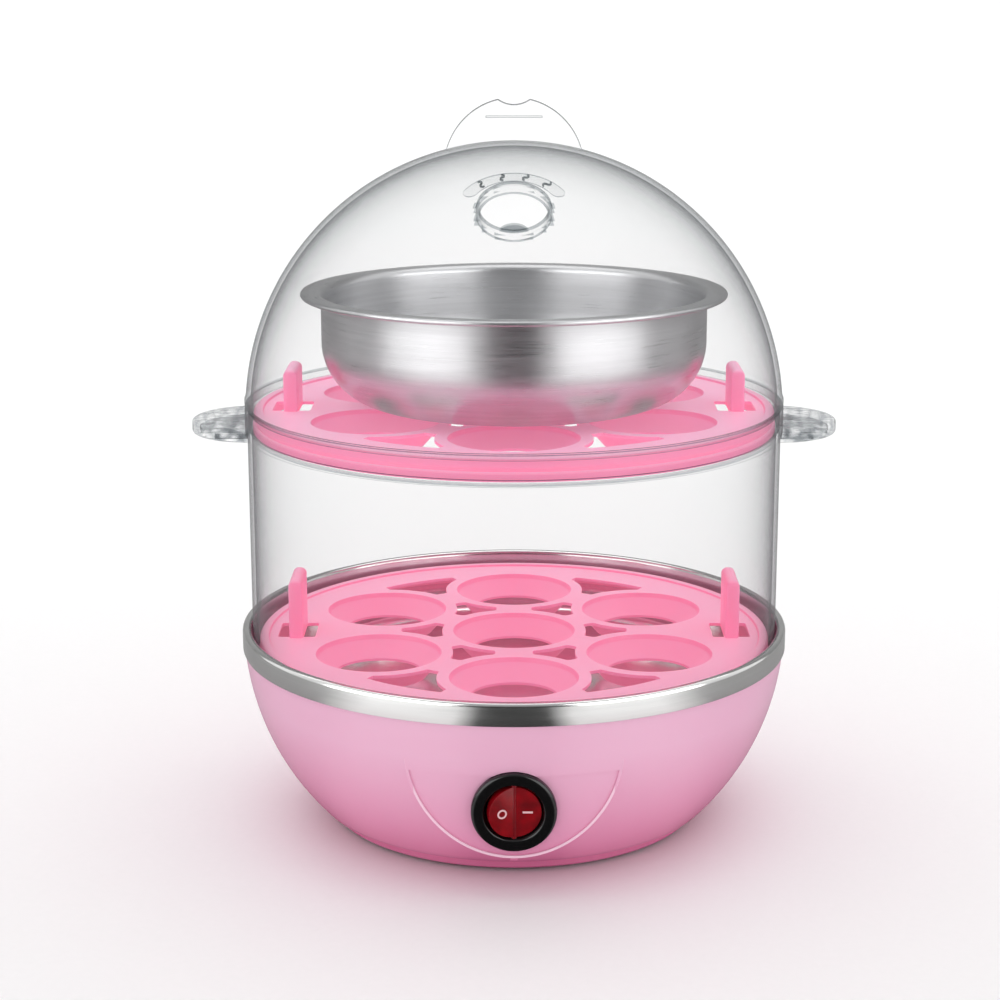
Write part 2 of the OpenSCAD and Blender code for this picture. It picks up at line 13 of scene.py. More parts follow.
import bpy
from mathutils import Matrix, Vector

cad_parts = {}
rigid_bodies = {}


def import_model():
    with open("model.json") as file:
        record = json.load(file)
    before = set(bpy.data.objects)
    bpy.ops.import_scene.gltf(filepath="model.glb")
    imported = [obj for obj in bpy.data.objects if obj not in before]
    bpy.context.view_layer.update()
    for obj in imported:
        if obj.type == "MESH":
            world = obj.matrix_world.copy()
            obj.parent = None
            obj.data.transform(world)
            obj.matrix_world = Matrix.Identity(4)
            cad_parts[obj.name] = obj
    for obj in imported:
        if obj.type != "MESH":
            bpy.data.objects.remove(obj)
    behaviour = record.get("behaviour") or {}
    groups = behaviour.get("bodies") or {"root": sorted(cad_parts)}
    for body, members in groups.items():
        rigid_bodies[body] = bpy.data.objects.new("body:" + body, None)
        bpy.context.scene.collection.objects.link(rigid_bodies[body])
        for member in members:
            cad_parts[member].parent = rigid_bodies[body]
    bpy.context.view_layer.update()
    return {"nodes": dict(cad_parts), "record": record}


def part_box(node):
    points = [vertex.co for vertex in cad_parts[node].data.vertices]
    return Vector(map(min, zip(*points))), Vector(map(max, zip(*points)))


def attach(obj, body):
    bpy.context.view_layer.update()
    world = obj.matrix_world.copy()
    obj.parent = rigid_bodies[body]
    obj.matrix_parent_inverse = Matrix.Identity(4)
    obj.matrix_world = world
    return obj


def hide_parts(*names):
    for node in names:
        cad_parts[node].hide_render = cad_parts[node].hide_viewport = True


bpy.ops.object.select_all(action="SELECT")
bpy.ops.object.delete()
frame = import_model()

# %% [markdown]
# ## Working by hand, in code
# Operators act on whatever is selected, so each step starts from nothing selected.
# Lengths are written in millimetres, because that is how moulds are drawn, and turned
# into metres at the last moment by MM.

# %% Selection helpers
MM = 0.001


def deselect():
    if bpy.context.mode != "OBJECT":
        bpy.ops.object.mode_set(mode="OBJECT")
    bpy.ops.object.select_all(action="DESELECT")


def pick(piece):
    deselect()
    piece.select_set(True)
    bpy.context.view_layer.objects.active = piece


def settle(piece):
    """Puts a piece's place, turn and scale into its mesh."""
    pick(piece)
    bpy.ops.object.transform_apply(location=True, rotation=True, scale=True)
    return piece


def tell(piece):
    size = [round(1000 * v, 1) for v in piece.dimensions]
    print(f"{piece.name}: {len(piece.data.polygons)} faces, {size} mm")


# %% [markdown]
# ## The lathe
# A turned piece is half an outline, spun round the centre line. The outline starts as one
# vertex, and each next point is pulled out of the last one. Spin leaves a seam and, on
# the axis, a fan of doubled points, so doubles are merged and the faces turned outwards.

# %% Lathe helpers
TURN_STEPS = 192


def arc(centre_r, centre_z, r, start, end, steps=8):
    """Points of a round corner, from one angle to another in degrees."""
    angles = [start + (end - start) * i / steps for i in range(steps + 1)]
    return [
        (centre_r + r * math.cos(math.radians(a)), centre_z + r * math.sin(math.radians(a)))
        for a in angles
    ]


def turn(name, outline, steps=TURN_STEPS):
    """Spins (radius, height) points in millimetres round the upright axis."""
    deselect()
    bpy.ops.mesh.primitive_plane_add(size=0.01)
    piece = bpy.context.object
    piece.name = name
    piece.data.name = name
    bpy.ops.object.mode_set(mode="EDIT")
    bpy.ops.mesh.merge(type="CENTER")
    r, z = outline[0]
    bpy.ops.transform.translate(value=(r * MM, 0, z * MM))
    for next_r, next_z in outline[1:]:
        step = ((next_r - r) * MM, 0, (next_z - z) * MM)
        bpy.ops.mesh.extrude_vertices_move(TRANSFORM_OT_translate={"value": step})
        r, z = next_r, next_z
    bpy.ops.mesh.select_all(action="SELECT")
    bpy.ops.mesh.spin(steps=steps, angle=2 * math.pi, center=(0, 0, 0), axis=(0, 0, 1))
    bpy.ops.mesh.select_all(action="SELECT")
    bpy.ops.mesh.remove_doubles(threshold=2e-6)
    bpy.ops.mesh.normals_make_consistent(inside=False)
    bpy.ops.object.mode_set(mode="OBJECT")
    return piece


# %% [markdown]
# ## Joining, cutting and softening
# Cutting with a second shape is how openings are made in a moulding. Real edges are
# never sharp: a small bevel on every edge over an angle catches the light.

# %% Joining, cutting and softening helpers
def use(piece, kind, **settings):
    """Adds a modifier and applies it at once."""
    pick(piece)
    modifier = piece.modifiers.new(kind.title(), kind)
    for key, value in settings.items():
        setattr(modifier, key, value)
    bpy.ops.object.modifier_apply(modifier=modifier.name)
    return piece


def combine(piece, other, how):
    """Cuts other from piece, fuses it on, or keeps what they share. other is used up."""
    use(piece, "BOOLEAN", object=other, operation=how, solver="EXACT")
    bpy.data.objects.remove(other, do_unlink=True)
    return piece


def join(pieces):
    deselect()
    for one in pieces:
        one.select_set(True)
    bpy.context.view_layer.objects.active = pieces[0]
    bpy.ops.object.join()
    return pieces[0]


def soften(piece, width, segments=2, angle=35):
    return use(
        piece, "BEVEL", width=width * MM, segments=segments, limit_method="ANGLE",
        angle_limit=math.radians(angle), use_clamp_overlap=True,
    )


def smooth(piece, angle=32):
    pick(piece)
    bpy.ops.object.shade_smooth_by_angle(angle=math.radians(angle))
    return piece


def cylinder(r, height, place, steps=64, r_top=None):
    """A straight or tapered round bar standing on place, in millimetres."""
    deselect()
    x, y, z = place
    bpy.ops.mesh.primitive_cone_add(
        vertices=steps, radius1=r * MM, radius2=(r if r_top is None else r_top) * MM,
        depth=height * MM, location=(x * MM, y * MM, (z + height / 2) * MM),
    )
    return settle(bpy.context.object)


def block(size, place):
    """A box of that size with the middle of its underside on place, in millimetres."""
    deselect()
    x, y, z = place
    bpy.ops.mesh.primitive_cube_add(size=1, location=(x * MM, y * MM, (z + size[2] / 2) * MM))
    piece = bpy.context.object
    piece.scale = [v * MM for v in size]
    return settle(piece)


def turned_copy(piece, degrees):
    """A copy with its own mesh, turned round the centre line."""
    copy = piece.copy()
    copy.data = piece.data.copy()
    bpy.context.collection.objects.link(copy)
    copy.rotation_euler = (0, 0, math.radians(degrees))
    return settle(copy)


def fit(piece, node, body):
    """Lets a finished piece stand for its engineering node."""
    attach(piece, body)
    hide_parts(node)
    tell(piece)
    return piece


def low(node):
    return [1000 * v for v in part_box(node)[0]]


def high(node):
    return [1000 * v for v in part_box(node)[1]]


# %% [markdown]
# ## Heights and radii
# Sizes come from the engineering model, so each new piece sits exactly where the old one
# does. Wall thicknesses are the mould maker's: about 2 mm in the base, 1.5 mm in the
# clear mouldings and half a millimetre in the pan.

# %% Sizes
RIM_R = high("water_pan")[0]
RIM_TOP = high("water_pan")[2]
RING_R = RIM_R - 3.4
RING_FOOT = low("middle_ring")[2]
RING_TOP = high("middle_ring")[2]
RING_WALL = 1.4
STEP_Z = RING_TOP - 7.8
LOW_TRAY_Z = low("lower_tray")[2]
UP_TRAY_Z = low("upper_tray")[2]
TRAY_R = RING_R - RING_WALL - 0.4
BOWL_Z = low("steam_bowl")[2]
BOWL_TOP = high("steam_bowl")[2]
BOWL_RIM_R = high("steam_bowl")[0]
BOWL_R = BOWL_RIM_R - 6.5
LID_Z = RING_TOP + 0.3
LID_R = RING_R + 0.5
LID_DROP = 4.1
LID_WALL = 1.6
print("rim", RIM_R, RIM_TOP, "ring", RING_FOOT, RING_TOP, "bowl", BOWL_Z, BOWL_TOP)

# %% [markdown]
# ## Base shell
# The base is one pink moulding: a bowl-shaped side that is a single arc in section, a
# foot ring set in under it, and a tongue at the top that the steel rim rolls over. On
# the front a rounded pod stands proud and carries the switch. The outside and the hollow
# are made as two solid plugs, and the hollow is cut out of the outside, which is how the
# core and cavity of its mould work.

# %% Base shell: side and hollow
SIDE_ARC_R = 86.0
SIDE_ARC_X = RIM_R - 86.4
SIDE_ARC_Z = 64.7
SHELL_WALL = 2.2
FOOT_R = 61.7
TONGUE_R = RIM_R - 0.8


def side_arc(inset, z0, z1, steps=28):
    """The side's arc between two heights, moved inwards by inset."""
    r = SIDE_ARC_R - inset
    first, last = [math.degrees(math.asin((z - SIDE_ARC_Z) / r)) for z in (z0, z1)]
    return arc(SIDE_ARC_X, SIDE_ARC_Z, r, first, last, steps)


shell = turn(
    "base_shell_moulded",
    [(0, 1.2), (FOOT_R - 0.5, 1.2), (FOOT_R, 1.7), (FOOT_R, 4.3), (FOOT_R + 0.4, 4.6), (64.4, 4.6)]
    + side_arc(0, 5.4, 56.6)
    + [(TONGUE_R, 57.0), (TONGUE_R, 61.2), (0, 61.2)],
)
hollow = turn(
    "hollow",
    [(0, 0), (FOOT_R - 2.2, 0), (FOOT_R - 2.2, 4.6), (57.0, 4.6), (57.0, 6.8)]
    + side_arc(SHELL_WALL, 6.9, 54.2)
    + [(RIM_R - 2.4, 54.3), (RIM_R - 2.4, 70), (0, 70)],
)

# %% [markdown]
# ## The switch pod
# The pod is a steep cone, almost upright, that shows only inside a U-shaped outline. A
# round block along the front is crossed with the cone, its edge is rounded, and it is
# fused on. A smaller copy of the same shape hollows it.

# %% Base shell: pod
POD_LEAN = 5.8
POD_FACE = RIM_R - 2.8
POD_TOP = 44.5
POD_R = 32.8
POD_MIDDLE = 46.8
POD_SLOPE = math.tan(math.radians(POD_LEAN))


def pod(inset):
    cone = turn(
        "pod_cone",
        [(0, 6), (POD_FACE - inset - (POD_TOP - 6) * POD_SLOPE, 6),
         (POD_FACE - inset + 5 * POD_SLOPE, POD_TOP + 5), (0, POD_TOP + 5)],
    )
    bar = cylinder(POD_R + 2 - inset, 45, (0, 0, 0), steps=128, r_top=POD_R - 0.5 - inset)
    bar.rotation_euler = (math.radians(90), 0, 0)
    bar.location = (0, -50 * MM, POD_MIDDLE * MM)
    settle(bar)
    return combine(cone, bar, "INTERSECT")


pod_outer = soften(pod(0), 1.4, segments=4, angle=40)
combine(shell, pod_outer, "UNION")
combine(hollow, pod(SHELL_WALL), "UNION")
combine(shell, hollow, "DIFFERENCE")
tell(shell)

# %% [markdown]
# ## The pod's lip
# A thin lip runs round the U and catches the light. It could be a bead added on top, but
# it would then stand past the cone. Here it is what stays when the face inside it is cut
# back by half a millimetre.

# %% Base shell: pod lip
LIP_WIDE = 1.0
LIP_DEEP = 0.5
face_skin = combine(
    turn("skin_outer", [(0, 10), (POD_FACE + 3 - (POD_TOP - 10) * POD_SLOPE, 10),
                        (POD_FACE + 3 + 7 * POD_SLOPE, POD_TOP + 7), (0, POD_TOP + 7)]),
    turn("skin_inner", [(0, 5), (POD_FACE - LIP_DEEP - (POD_TOP - 5) * POD_SLOPE, 5),
                        (POD_FACE - LIP_DEEP + 12 * POD_SLOPE, POD_TOP + 12), (0, POD_TOP + 12)]),
    "DIFFERENCE",
)
inside_u = cylinder(POD_R + 2 - LIP_WIDE, 50, (0, 0, 0), steps=128, r_top=POD_R - 0.5 - LIP_WIDE)
inside_u.rotation_euler = (math.radians(90), 0, 0)
inside_u.location = (0, -50 * MM, POD_MIDDLE * MM)
combine(face_skin, settle(inside_u), "INTERSECT")
below_rim = turn("below_rim", [(0, 0), (120, 0), (120, 41), (0, 41)])
combine(face_skin, below_rim, "INTERSECT")
combine(shell, face_skin, "DIFFERENCE")
tell(shell)

# %% [markdown]
# ## Switch seat, cord boss and screw posts
# The switch drops into a round seat that leans with the pod. At the back a flat-faced
# boss takes the cord gland. Inside, five posts take screws: three for the bottom cover
# and two for the strap that pulls the pan down.

# %% Base shell: seats and posts
SWITCH_Z = 29.5
SWITCH_Y = POD_FACE - (POD_TOP - SWITCH_Z) * POD_SLOPE
BEZEL_R = 13.0
GLAND_Z = 24.0
GLAND_Y = 81.0


def on_pod(piece):
    """Moves a piece made round the upright axis out to the switch's place on the pod."""
    settle(piece)
    piece.rotation_euler = (math.radians(90 + POD_LEAN), 0, 0)
    piece.location = (0, -SWITCH_Y * MM, SWITCH_Z * MM)
    return settle(piece)


def at_back(piece, y):
    """Turns an upright piece to point out of the back, starting at that depth."""
    piece.rotation_euler = (math.radians(-90), 0, 0)
    piece.location = (0, y * MM, GLAND_Z * MM)
    return settle(piece)


combine(shell, at_back(cylinder(9, GLAND_Y - 68, (0, 0, 0)), 68), "UNION")
combine(shell, at_back(cylinder(9.5, 20, (0, 0, 0)), GLAND_Y), "DIFFERENCE")
combine(shell, at_back(cylinder(6.8, 40, (0, 0, 0)), GLAND_Y - 42.4), "DIFFERENCE")
combine(shell, at_back(cylinder(4.5, 10, (0, 0, 0)), GLAND_Y - 5), "DIFFERENCE")
combine(shell, on_pod(cylinder(BEZEL_R + 0.2, 10, (0, 0, -1))), "DIFFERENCE")
combine(shell, on_pod(cylinder(10.1, 20, (0, 0, -12))), "DIFFERENCE")
smooth(shell, 28)
posts = []
for angle in (30, 150, 270):
    post = combine(cylinder(3.6, 11.6, (52, 0, 4.4)), cylinder(1.45, 12, (52, 0, 3)), "DIFFERENCE")
    posts.append(turned_copy(join([post, block((14, 2.4, 9), (62, 0, 6.9))]), angle))
    bpy.data.objects.remove(post, do_unlink=True)
for angle in (0, 180):
    post = combine(cylinder(4, 9, (64, 0, 31)), cylinder(1.45, 8.4, (64, 0, 30)), "DIFFERENCE")
    posts.append(turned_copy(join([post, block((13, 2.4, 9), (73.5, 0, 31))]), angle))
    bpy.data.objects.remove(post, do_unlink=True)
join([shell] + posts)
fit(shell, "base_shell", "base")

# %% [markdown]
# ## Water pan and rim
# The pan is one pressed sheet: a flat heated floor, a wall, a ledge that the ring stands
# on, and an edge rolled over the base's tongue and down again as the bright band. One
# line is turned for the middle of the sheet, and Solidify gives it half a millimetre.

# %% Water pan
PAN_SHEET = 0.5
pan = turn(
    "water_pan_pressed",
    [(0, 42.25), (30, 42.25), (55, 42.25)]
    + arc(70.5, 48, 5.75, -90, 0)
    + [(76.25, 53.8)]
    + arc(77.2, 53.8, 0.95, 180, 90, 5)
    + [(82, 54.75)]
    + arc(86.3, 55.7, 0.95, -90, 0, 5)
    + [(87.25, 60)]
    + arc(RIM_R - 1.5, RIM_TOP - 1.5, 1.25, 180, 0, 12)
    + [(RIM_R - 0.25, 60.5), (RIM_R - 0.25, 58.2), (RIM_R - 0.45, 57.75)],
    steps=256,
)
use(pan, "SOLIDIFY", thickness=PAN_SHEET * MM, offset=0)
smooth(pan, 40)
studs = [cylinder(2, 11.1, (x, 0, 31), steps=32) for x in (-14, 14)]
pan = join([pan] + studs)
fit(pan, "water_pan", "base")

# %% [markdown]
# ## Egg trays
# Both trays come from one mould family: a plate with a skirt in two steps, seven conical
# seats with a hole at the bottom, curved openings between them for steam, and two
# upright tabs to lift the tray by. Cutters are made once and copied round. The cutters
# have rounded corners, so the openings have them too.

# %% Tray cutters
SEAT_RING_R = 50.5
SEAT_R = 20.0
SEAT_HOLE_R = 14.0
TAB_X = 72.0
TRAY_H = 7.0


def seat_places():
    outer = [
        (SEAT_RING_R * math.cos(math.radians(a)), SEAT_RING_R * math.sin(math.radians(a)))
        for a in range(30, 360, 60)
    ]
    return [(0, 0)] + outer


def copies_at(piece, places):
    made = []
    for x, y in places:
        copy = piece.copy()
        copy.data = piece.data.copy()
        bpy.context.collection.objects.link(copy)
        copy.location = (x * MM, y * MM, 0)
        made.append(settle(copy))
    bpy.data.objects.remove(piece, do_unlink=True)
    return join(made)


def seats_to_fuse():
    cup = turn("cup", [(0, -1), (SEAT_HOLE_R + 1.6, -1), (SEAT_R + 1.8, 6), (0, 6)], steps=96)
    return copies_at(cup, seat_places())


def seats_to_cut():
    lip = arc(SEAT_R + 1.4, 5.3, 1.4, 180, 98, 5)
    cup = turn(
        "seat_cutter",
        [(0, -3), (SEAT_HOLE_R, -3), (SEAT_HOLE_R, -0.2), (SEAT_R - 0.6, 4.6)] + lip
        + [(SEAT_R + 1.6, 9), (0, 9)],
        steps=96,
    )
    return copies_at(cup, seat_places())


def outer_opening():
    """Cutter for one curved opening, made on the +X side between two seats."""
    part = turn("opening", [(51, -4), (69.5, -4), (69.5, 12), (51, 12), (51, -4)], steps=120)
    wedge = block((60, 27, 30), (60, 0, -9))
    combine(part, wedge, "INTERSECT")
    for x, y in seat_places()[1::5]:
        combine(part, cylinder(SEAT_R + 4.2, 30, (x, y, -9), steps=96), "DIFFERENCE")
    return soften(part, 1.0, segments=3, angle=30)


def inner_opening():
    """Cutter for the small three-sided opening between three seats, on the +X side."""
    part = cylinder(8.6, 16, (SEAT_RING_R * 0.577, 0, -4), steps=48)
    for x, y in [seat_places()[0]] + seat_places()[1::5]:
        combine(part, cylinder(SEAT_R + 4, 30, (x, y, -9), steps=96), "DIFFERENCE")
    return soften(part, 0.8, segments=3, angle=30)


# %% [markdown]
# ## Building a tray
# The plate is turned with its skirt, groove and a slightly raised border. Seats are
# fused on, everything open is cut in two passes, and the tabs are set across their
# openings. A last small bevel gives each edge the soft look of a moulding.

# %% Trays
def tab(side, height):
    """A lifting tab with a rounded top, standing on the tray at that side."""
    plate = block((4.4, 19.2, TRAY_H - 5.4 + height), (side * TAB_X, 0, 5.2))
    pick(plate)
    bpy.ops.object.mode_set(mode="EDIT")
    bpy.ops.mesh.select_all(action="DESELECT")
    bpy.ops.object.mode_set(mode="OBJECT")
    top = max(v.co.z for v in plate.data.vertices)
    for edge in plate.data.edges:
        a, b = [plate.data.vertices[i].co for i in edge.vertices]
        edge.select = min(a.z, b.z) > top - 1e-5 and abs(a.x - b.x) > 1e-3
    bpy.ops.object.mode_set(mode="EDIT")
    bpy.ops.mesh.bevel(offset=2.2 * MM, segments=6)
    bpy.ops.object.mode_set(mode="OBJECT")
    return soften(plate, 0.5, segments=2, angle=50)


def tray(name, z, tab_height):
    r = TRAY_R
    plate = turn(
        name,
        [(0, 5.2), (r - 2.6, 5.2), (r - 2.6, 0), (r - 0.5, 0), (r, 0.5), (r, 2.3),
         (r - 0.3, 2.7), (r - 0.9, 2.9), (r - 1, 3.9), (r - 0.6, 4.1), (r - 0.4, 4.5)]
        + arc(r - 1.5, 5.9, 1.1, 0, 90, 5)
        + [(r - 3.0, 7.0), (r - 3.3, 6.9), (r - 3.7, 6.3), (r - 4.1, 6.2), (0, 6.2)],
    )
    combine(plate, seats_to_fuse(), "UNION")
    combine(plate, seats_to_cut(), "DIFFERENCE")
    outer, inner = outer_opening(), inner_opening()
    openings = [turned_copy(outer, a) for a in (60, 120, 240, 300)]
    openings += [turned_copy(inner, a) for a in range(0, 360, 60)]
    for side in (-1, 1):
        for x in (-4.2, 4.2):
            slot = block((4.0, 16, 20), (side * TAB_X + x, 0, -4))
            openings.append(soften(slot, 0.8, segments=2, angle=30))
    bpy.data.objects.remove(outer, do_unlink=True)
    bpy.data.objects.remove(inner, do_unlink=True)
    combine(plate, join(openings), "DIFFERENCE")
    soften(plate, 0.3, segments=2, angle=40)
    for side in (-1, 1):
        combine(plate, tab(side, tab_height), "UNION")
    plate.location = (0, 0, z * MM)
    settle(plate)
    return smooth(plate, 35)


low_tray = tray("lower_tray_moulded", LOW_TRAY_Z, high("lower_tray")[2] - LOW_TRAY_Z - TRAY_H)
fit(low_tray, "lower_tray", "lower_tray")
up_tray = tray("upper_tray_moulded", UP_TRAY_Z, high("upper_tray")[2] - UP_TRAY_Z - TRAY_H)
fit(up_tray, "upper_tray", "upper_tray")

# %% [markdown]
# ## Middle ring
# A clear injection moulding: a straight wall, a small inward step that carries the upper
# tray, and a wider collar above it. The outline goes round the whole section, so the
# wall is a closed solid and shows two surfaces, as real clear plastic does.

# %% Middle ring
ring = turn(
    "middle_ring_clear",
    [(RING_R - RING_WALL, RING_FOOT + 0.3), (RING_R - 1.1, RING_FOOT), (RING_R - 0.3, RING_FOOT),
     (RING_R, RING_FOOT + 0.3), (RING_R, STEP_Z - 2.4)]
    + arc(RING_R + 1.0, STEP_Z - 2.4, 1.0, 180, 130, 3)
    + [(RING_R + 0.6, STEP_Z - 1.2), (RING_R + 0.7, STEP_Z - 0.8)]
    + arc(RING_R + 0.3, RING_TOP - 0.4, 0.4, 0, 90, 4)
    + arc(RING_R - 0.1, RING_TOP - 0.3, 0.3, 90, 180, 3)
    + [(RING_R - 0.4, STEP_Z + 0.4), (RING_R - 0.7, STEP_Z), (RING_R - 3.1, STEP_Z)]
    + arc(RING_R - 3.1, STEP_Z - 0.4, 0.3, 90, 180, 3)
    + arc(RING_R - 3.1, STEP_Z - 1.1, 0.3, 180, 270, 3)
    + [(RING_R - RING_WALL - 0.5, STEP_Z - 1.4), (RING_R - RING_WALL, STEP_Z - 1.9),
       (RING_R - RING_WALL, RING_FOOT + 0.3)],
    steps=256,
)
smooth(ring, 40)
fit(ring, "middle_ring", "middle_ring")

# %% [markdown]
# ## Ears
# The two ears are thick clear lugs, rounded in plan, moulded with ribs underneath and a
# broken, crystal-like pattern on top. Each starts as a flat disc, is trimmed to the wall,
# pocketed from below between its ribs, and softened.

# %% Ears
EAR_REACH = high("middle_ring")[0]
EAR_R = 21.5
EAR_THICK = 4.4
EAR_Z = STEP_Z - 2.5


def ear():
    middle = EAR_REACH - EAR_R
    lug = cylinder(EAR_R, EAR_THICK, (middle, 0, EAR_Z), steps=96)
    soften(lug, 1.1, segments=4, angle=40)
    pocket = cylinder(EAR_R - 2.4, EAR_THICK - 1.6, (middle, 0, EAR_Z - 1), steps=96)
    for y in (-13.5, -4.5, 4.5, 13.5):
        combine(pocket, block((60, 1.8, 10), (middle, y, EAR_Z - 3)), "DIFFERENCE")
    soften(pocket, 0.5, segments=2, angle=40)
    combine(lug, pocket, "DIFFERENCE")
    combine(lug, cylinder(RING_R - 0.1, 20, (0, 0, EAR_Z - 5), steps=256), "DIFFERENCE")
    return lug


ears = [ear()]
ears.append(turned_copy(ears[0], 180))
ears = join(ears)
ears.name = "ring_ears"
smooth(ears, 35)
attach(ears, "middle_ring")
tell(ears)

# %% [markdown]
# ## Steaming bowl
# The bowl is drawn from one disc of steel: flat bottom, a generous corner, a straight
# wall, and a flat flange with its edge rolled under. The outline runs up the outside,
# round the roll and down the inside.

# %% Steaming bowl
BOWL_SHEET = 0.7
BOWL_CORNER = 20.0
bowl = turn(
    "steam_bowl_drawn",
    [(0, BOWL_Z + 0.5), (20, BOWL_Z + 0.5), (23, BOWL_Z), (30, BOWL_Z)]
    + arc(BOWL_R - BOWL_CORNER, BOWL_Z + BOWL_CORNER, BOWL_CORNER, -90, 0, 20)
    + [(BOWL_R, BOWL_TOP - 8), (BOWL_R, BOWL_TOP - 2.4)]
    + arc(BOWL_R + 1.7, BOWL_TOP - 2.4, 1.7, 180, 90, 6)
    + [(BOWL_RIM_R - 1.2, BOWL_TOP - 0.7)]
    + arc(BOWL_RIM_R - 0.8, BOWL_TOP - 0.8, 0.8, 240, 450, 12)
    + [(BOWL_R + 1.7, BOWL_TOP)]
    + arc(BOWL_R + 1.7, BOWL_TOP - 2.4, 2.4, 90, 180, 8)
    + [(BOWL_R - BOWL_SHEET, BOWL_TOP - 8)]
    + arc(BOWL_R - BOWL_CORNER, BOWL_Z + BOWL_CORNER, BOWL_CORNER - BOWL_SHEET, 0, -90, 20)
    + [(30, BOWL_Z + 0.7), (23, BOWL_Z + 0.7), (20, BOWL_Z + 1.2), (0, BOWL_Z + 1.2)],
    steps=256,
)
smooth(bowl, 50)
fit(bowl, "steam_bowl", "bowl")

# %% [markdown]
# ## Domed lid
# The lid is nearly a half sphere with a small locating lip. The round steam outlet is
# cut square to the surface on the front, with a short collar and a drip tongue. The
# upright grip is a disc segment fused across the top, with a dip for a finger.

# %% Lid: dome
DOME_C = LID_Z - LID_DROP
OUTLET_TILT = 35.5
OUTLET_R = 10.25


def dome_arc(r, z0, steps):
    start = math.degrees(math.asin((z0 - DOME_C) / r))
    return arc(0, DOME_C, r, start, 90, steps)


INNER_FOOT = math.sqrt((LID_R - LID_WALL) ** 2 - LID_DROP**2)
lid = turn(
    "dome_lid_clear",
    [(INNER_FOOT - 0.3, LID_Z - 2.3), (RING_R - 0.75, LID_Z - 2.3), (RING_R - 0.75, LID_Z),
     (LID_R - 0.1, LID_Z), (LID_R + 0.2, LID_Z + 0.3), (LID_R + 0.2, LID_Z + 1.6),
     (LID_R, LID_Z + 2.0)]
    + dome_arc(LID_R, LID_Z + 2.6, 48)
    + dome_arc(LID_R - LID_WALL, LID_Z + 2.0, 48)[::-1]
    + [(INNER_FOOT - 0.3, LID_Z + 0.4), (INNER_FOOT - 0.3, LID_Z - 2.3)],
    steps=256,
)
tell(lid)


# %% [markdown]
# ## Outlet and grip
# Everything on the dome's front is placed by one helper that leans a piece out to the
# outlet's spot. The collar and the tongue are turned or crossed upright and then leaned.
# The grip is a thin disc, dipped and rounded, trimmed by a plug the size of the dome.

# %% Lid: outlet and grip
def on_dome(piece):
    """Moves a piece made round the upright axis out to the steam outlet on the dome."""
    settle(piece)
    lean = math.radians(OUTLET_TILT)
    piece.rotation_euler = (lean, 0, 0)
    piece.location = (0, -LID_R * math.sin(lean) * MM, (DOME_C + LID_R * math.cos(lean)) * MM)
    return settle(piece)


collar = turn(
    "collar",
    [(OUTLET_R, -3.2)] + [(OUTLET_R + 0.9, -3.2), (OUTLET_R + 1.0, 0.6)]
    + arc(OUTLET_R + 0.5, 0.7, 0.5, 0, 180, 6) + [(OUTLET_R, -3.2)],
    steps=96,
)
combine(lid, on_dome(cylinder(OUTLET_R + 0.4, 20, (0, 0, -10), steps=96)), "DIFFERENCE")
tongue = combine(
    cylinder(OUTLET_R + 0.3, 1.0, (0, 0, -0.6), steps=96),
    cylinder(5, 4, (0, -OUTLET_R - 1.5, -2), steps=64), "INTERSECT",
)
soften(tongue, 0.25, segments=2, angle=40)
combine(lid, on_dome(collar), "UNION")
combine(lid, on_dome(tongue), "UNION")

GRIP_CREST = 236.0
GRIP_R = 22.4
GRIP_Z = GRIP_CREST - GRIP_R
GRIP_THICK = 4.0
grip = cylinder(GRIP_R, GRIP_THICK, (0, 0, -GRIP_THICK / 2), steps=160)
dip = cylinder(8.6, 10, (0, GRIP_R + 6.4, -5), steps=96)
combine(grip, dip, "DIFFERENCE")
soften(grip, 1.0, segments=4, angle=20)
grip.rotation_euler = (math.radians(90), 0, 0)
grip.location = (0, 0, GRIP_Z * MM)
settle(grip)
deselect()
bar = block((18, 0.8, 0.7), (0, -GRIP_THICK / 2, 229.7))
combine(grip, soften(bar, 0.2, segments=2), "UNION")
plug = turn("plug", [(0, 100)] + dome_arc(LID_R - 0.7, LID_Z, 64), steps=128)
combine(grip, plug, "DIFFERENCE")
combine(lid, grip, "UNION")
tell(lid)

# %% [markdown]
# ## Raised panel and steam marks
# The panel is a bent capsule round the outlet. It is cut as a tall prism and then crossed
# with a thin layer of the dome, so it follows the surface and stands a little proud. The
# panel carries four plain waves, the common sign for rising steam. Each wave is two half
# rings crossed with a slightly taller layer.

# %% Lid: raised panel and steam marks
PANEL_R = 15.75
PANEL_HALF = 2.25
PANEL_SPREAD = 56
PANEL_PROUD = 0.35
WAVE_PROUD = 0.3
WAVE_R = 0.8
WAVE_LINE = 0.18


def dome_layer(proud, deep):
    """The dome's own skin from deep under its surface to proud above it."""
    return turn(
        "layer", [(0, DOME_C + LID_R - deep)] + dome_arc(LID_R - deep, LID_Z + 8, 64)[::-1]
        + dome_arc(LID_R + proud, LID_Z + 8, 64), steps=192,
    )


def bent_bar(middle_r, half, spread):
    """A capsule bent round the outlet, on its up-dome side, as a tall prism."""
    inner, outer = middle_r - half, middle_r + half
    bar = turn("bar", [(inner, -9), (outer, -9), (outer, 9), (inner, 9), (inner, -9)], steps=144)
    turned = math.radians(90 - spread)
    for side in (-1, 1):
        keep = block((80, 40, 40), (0, 20, -20))
        keep.rotation_euler = (0, 0, side * math.radians(90 - spread))
        combine(bar, settle(keep), "INTERSECT")
    for side in (-1, 1):
        end = (side * middle_r * math.cos(turned), middle_r * math.sin(turned), -9)
        combine(bar, cylinder(half, 18, end, steps=48), "UNION")
    return bar


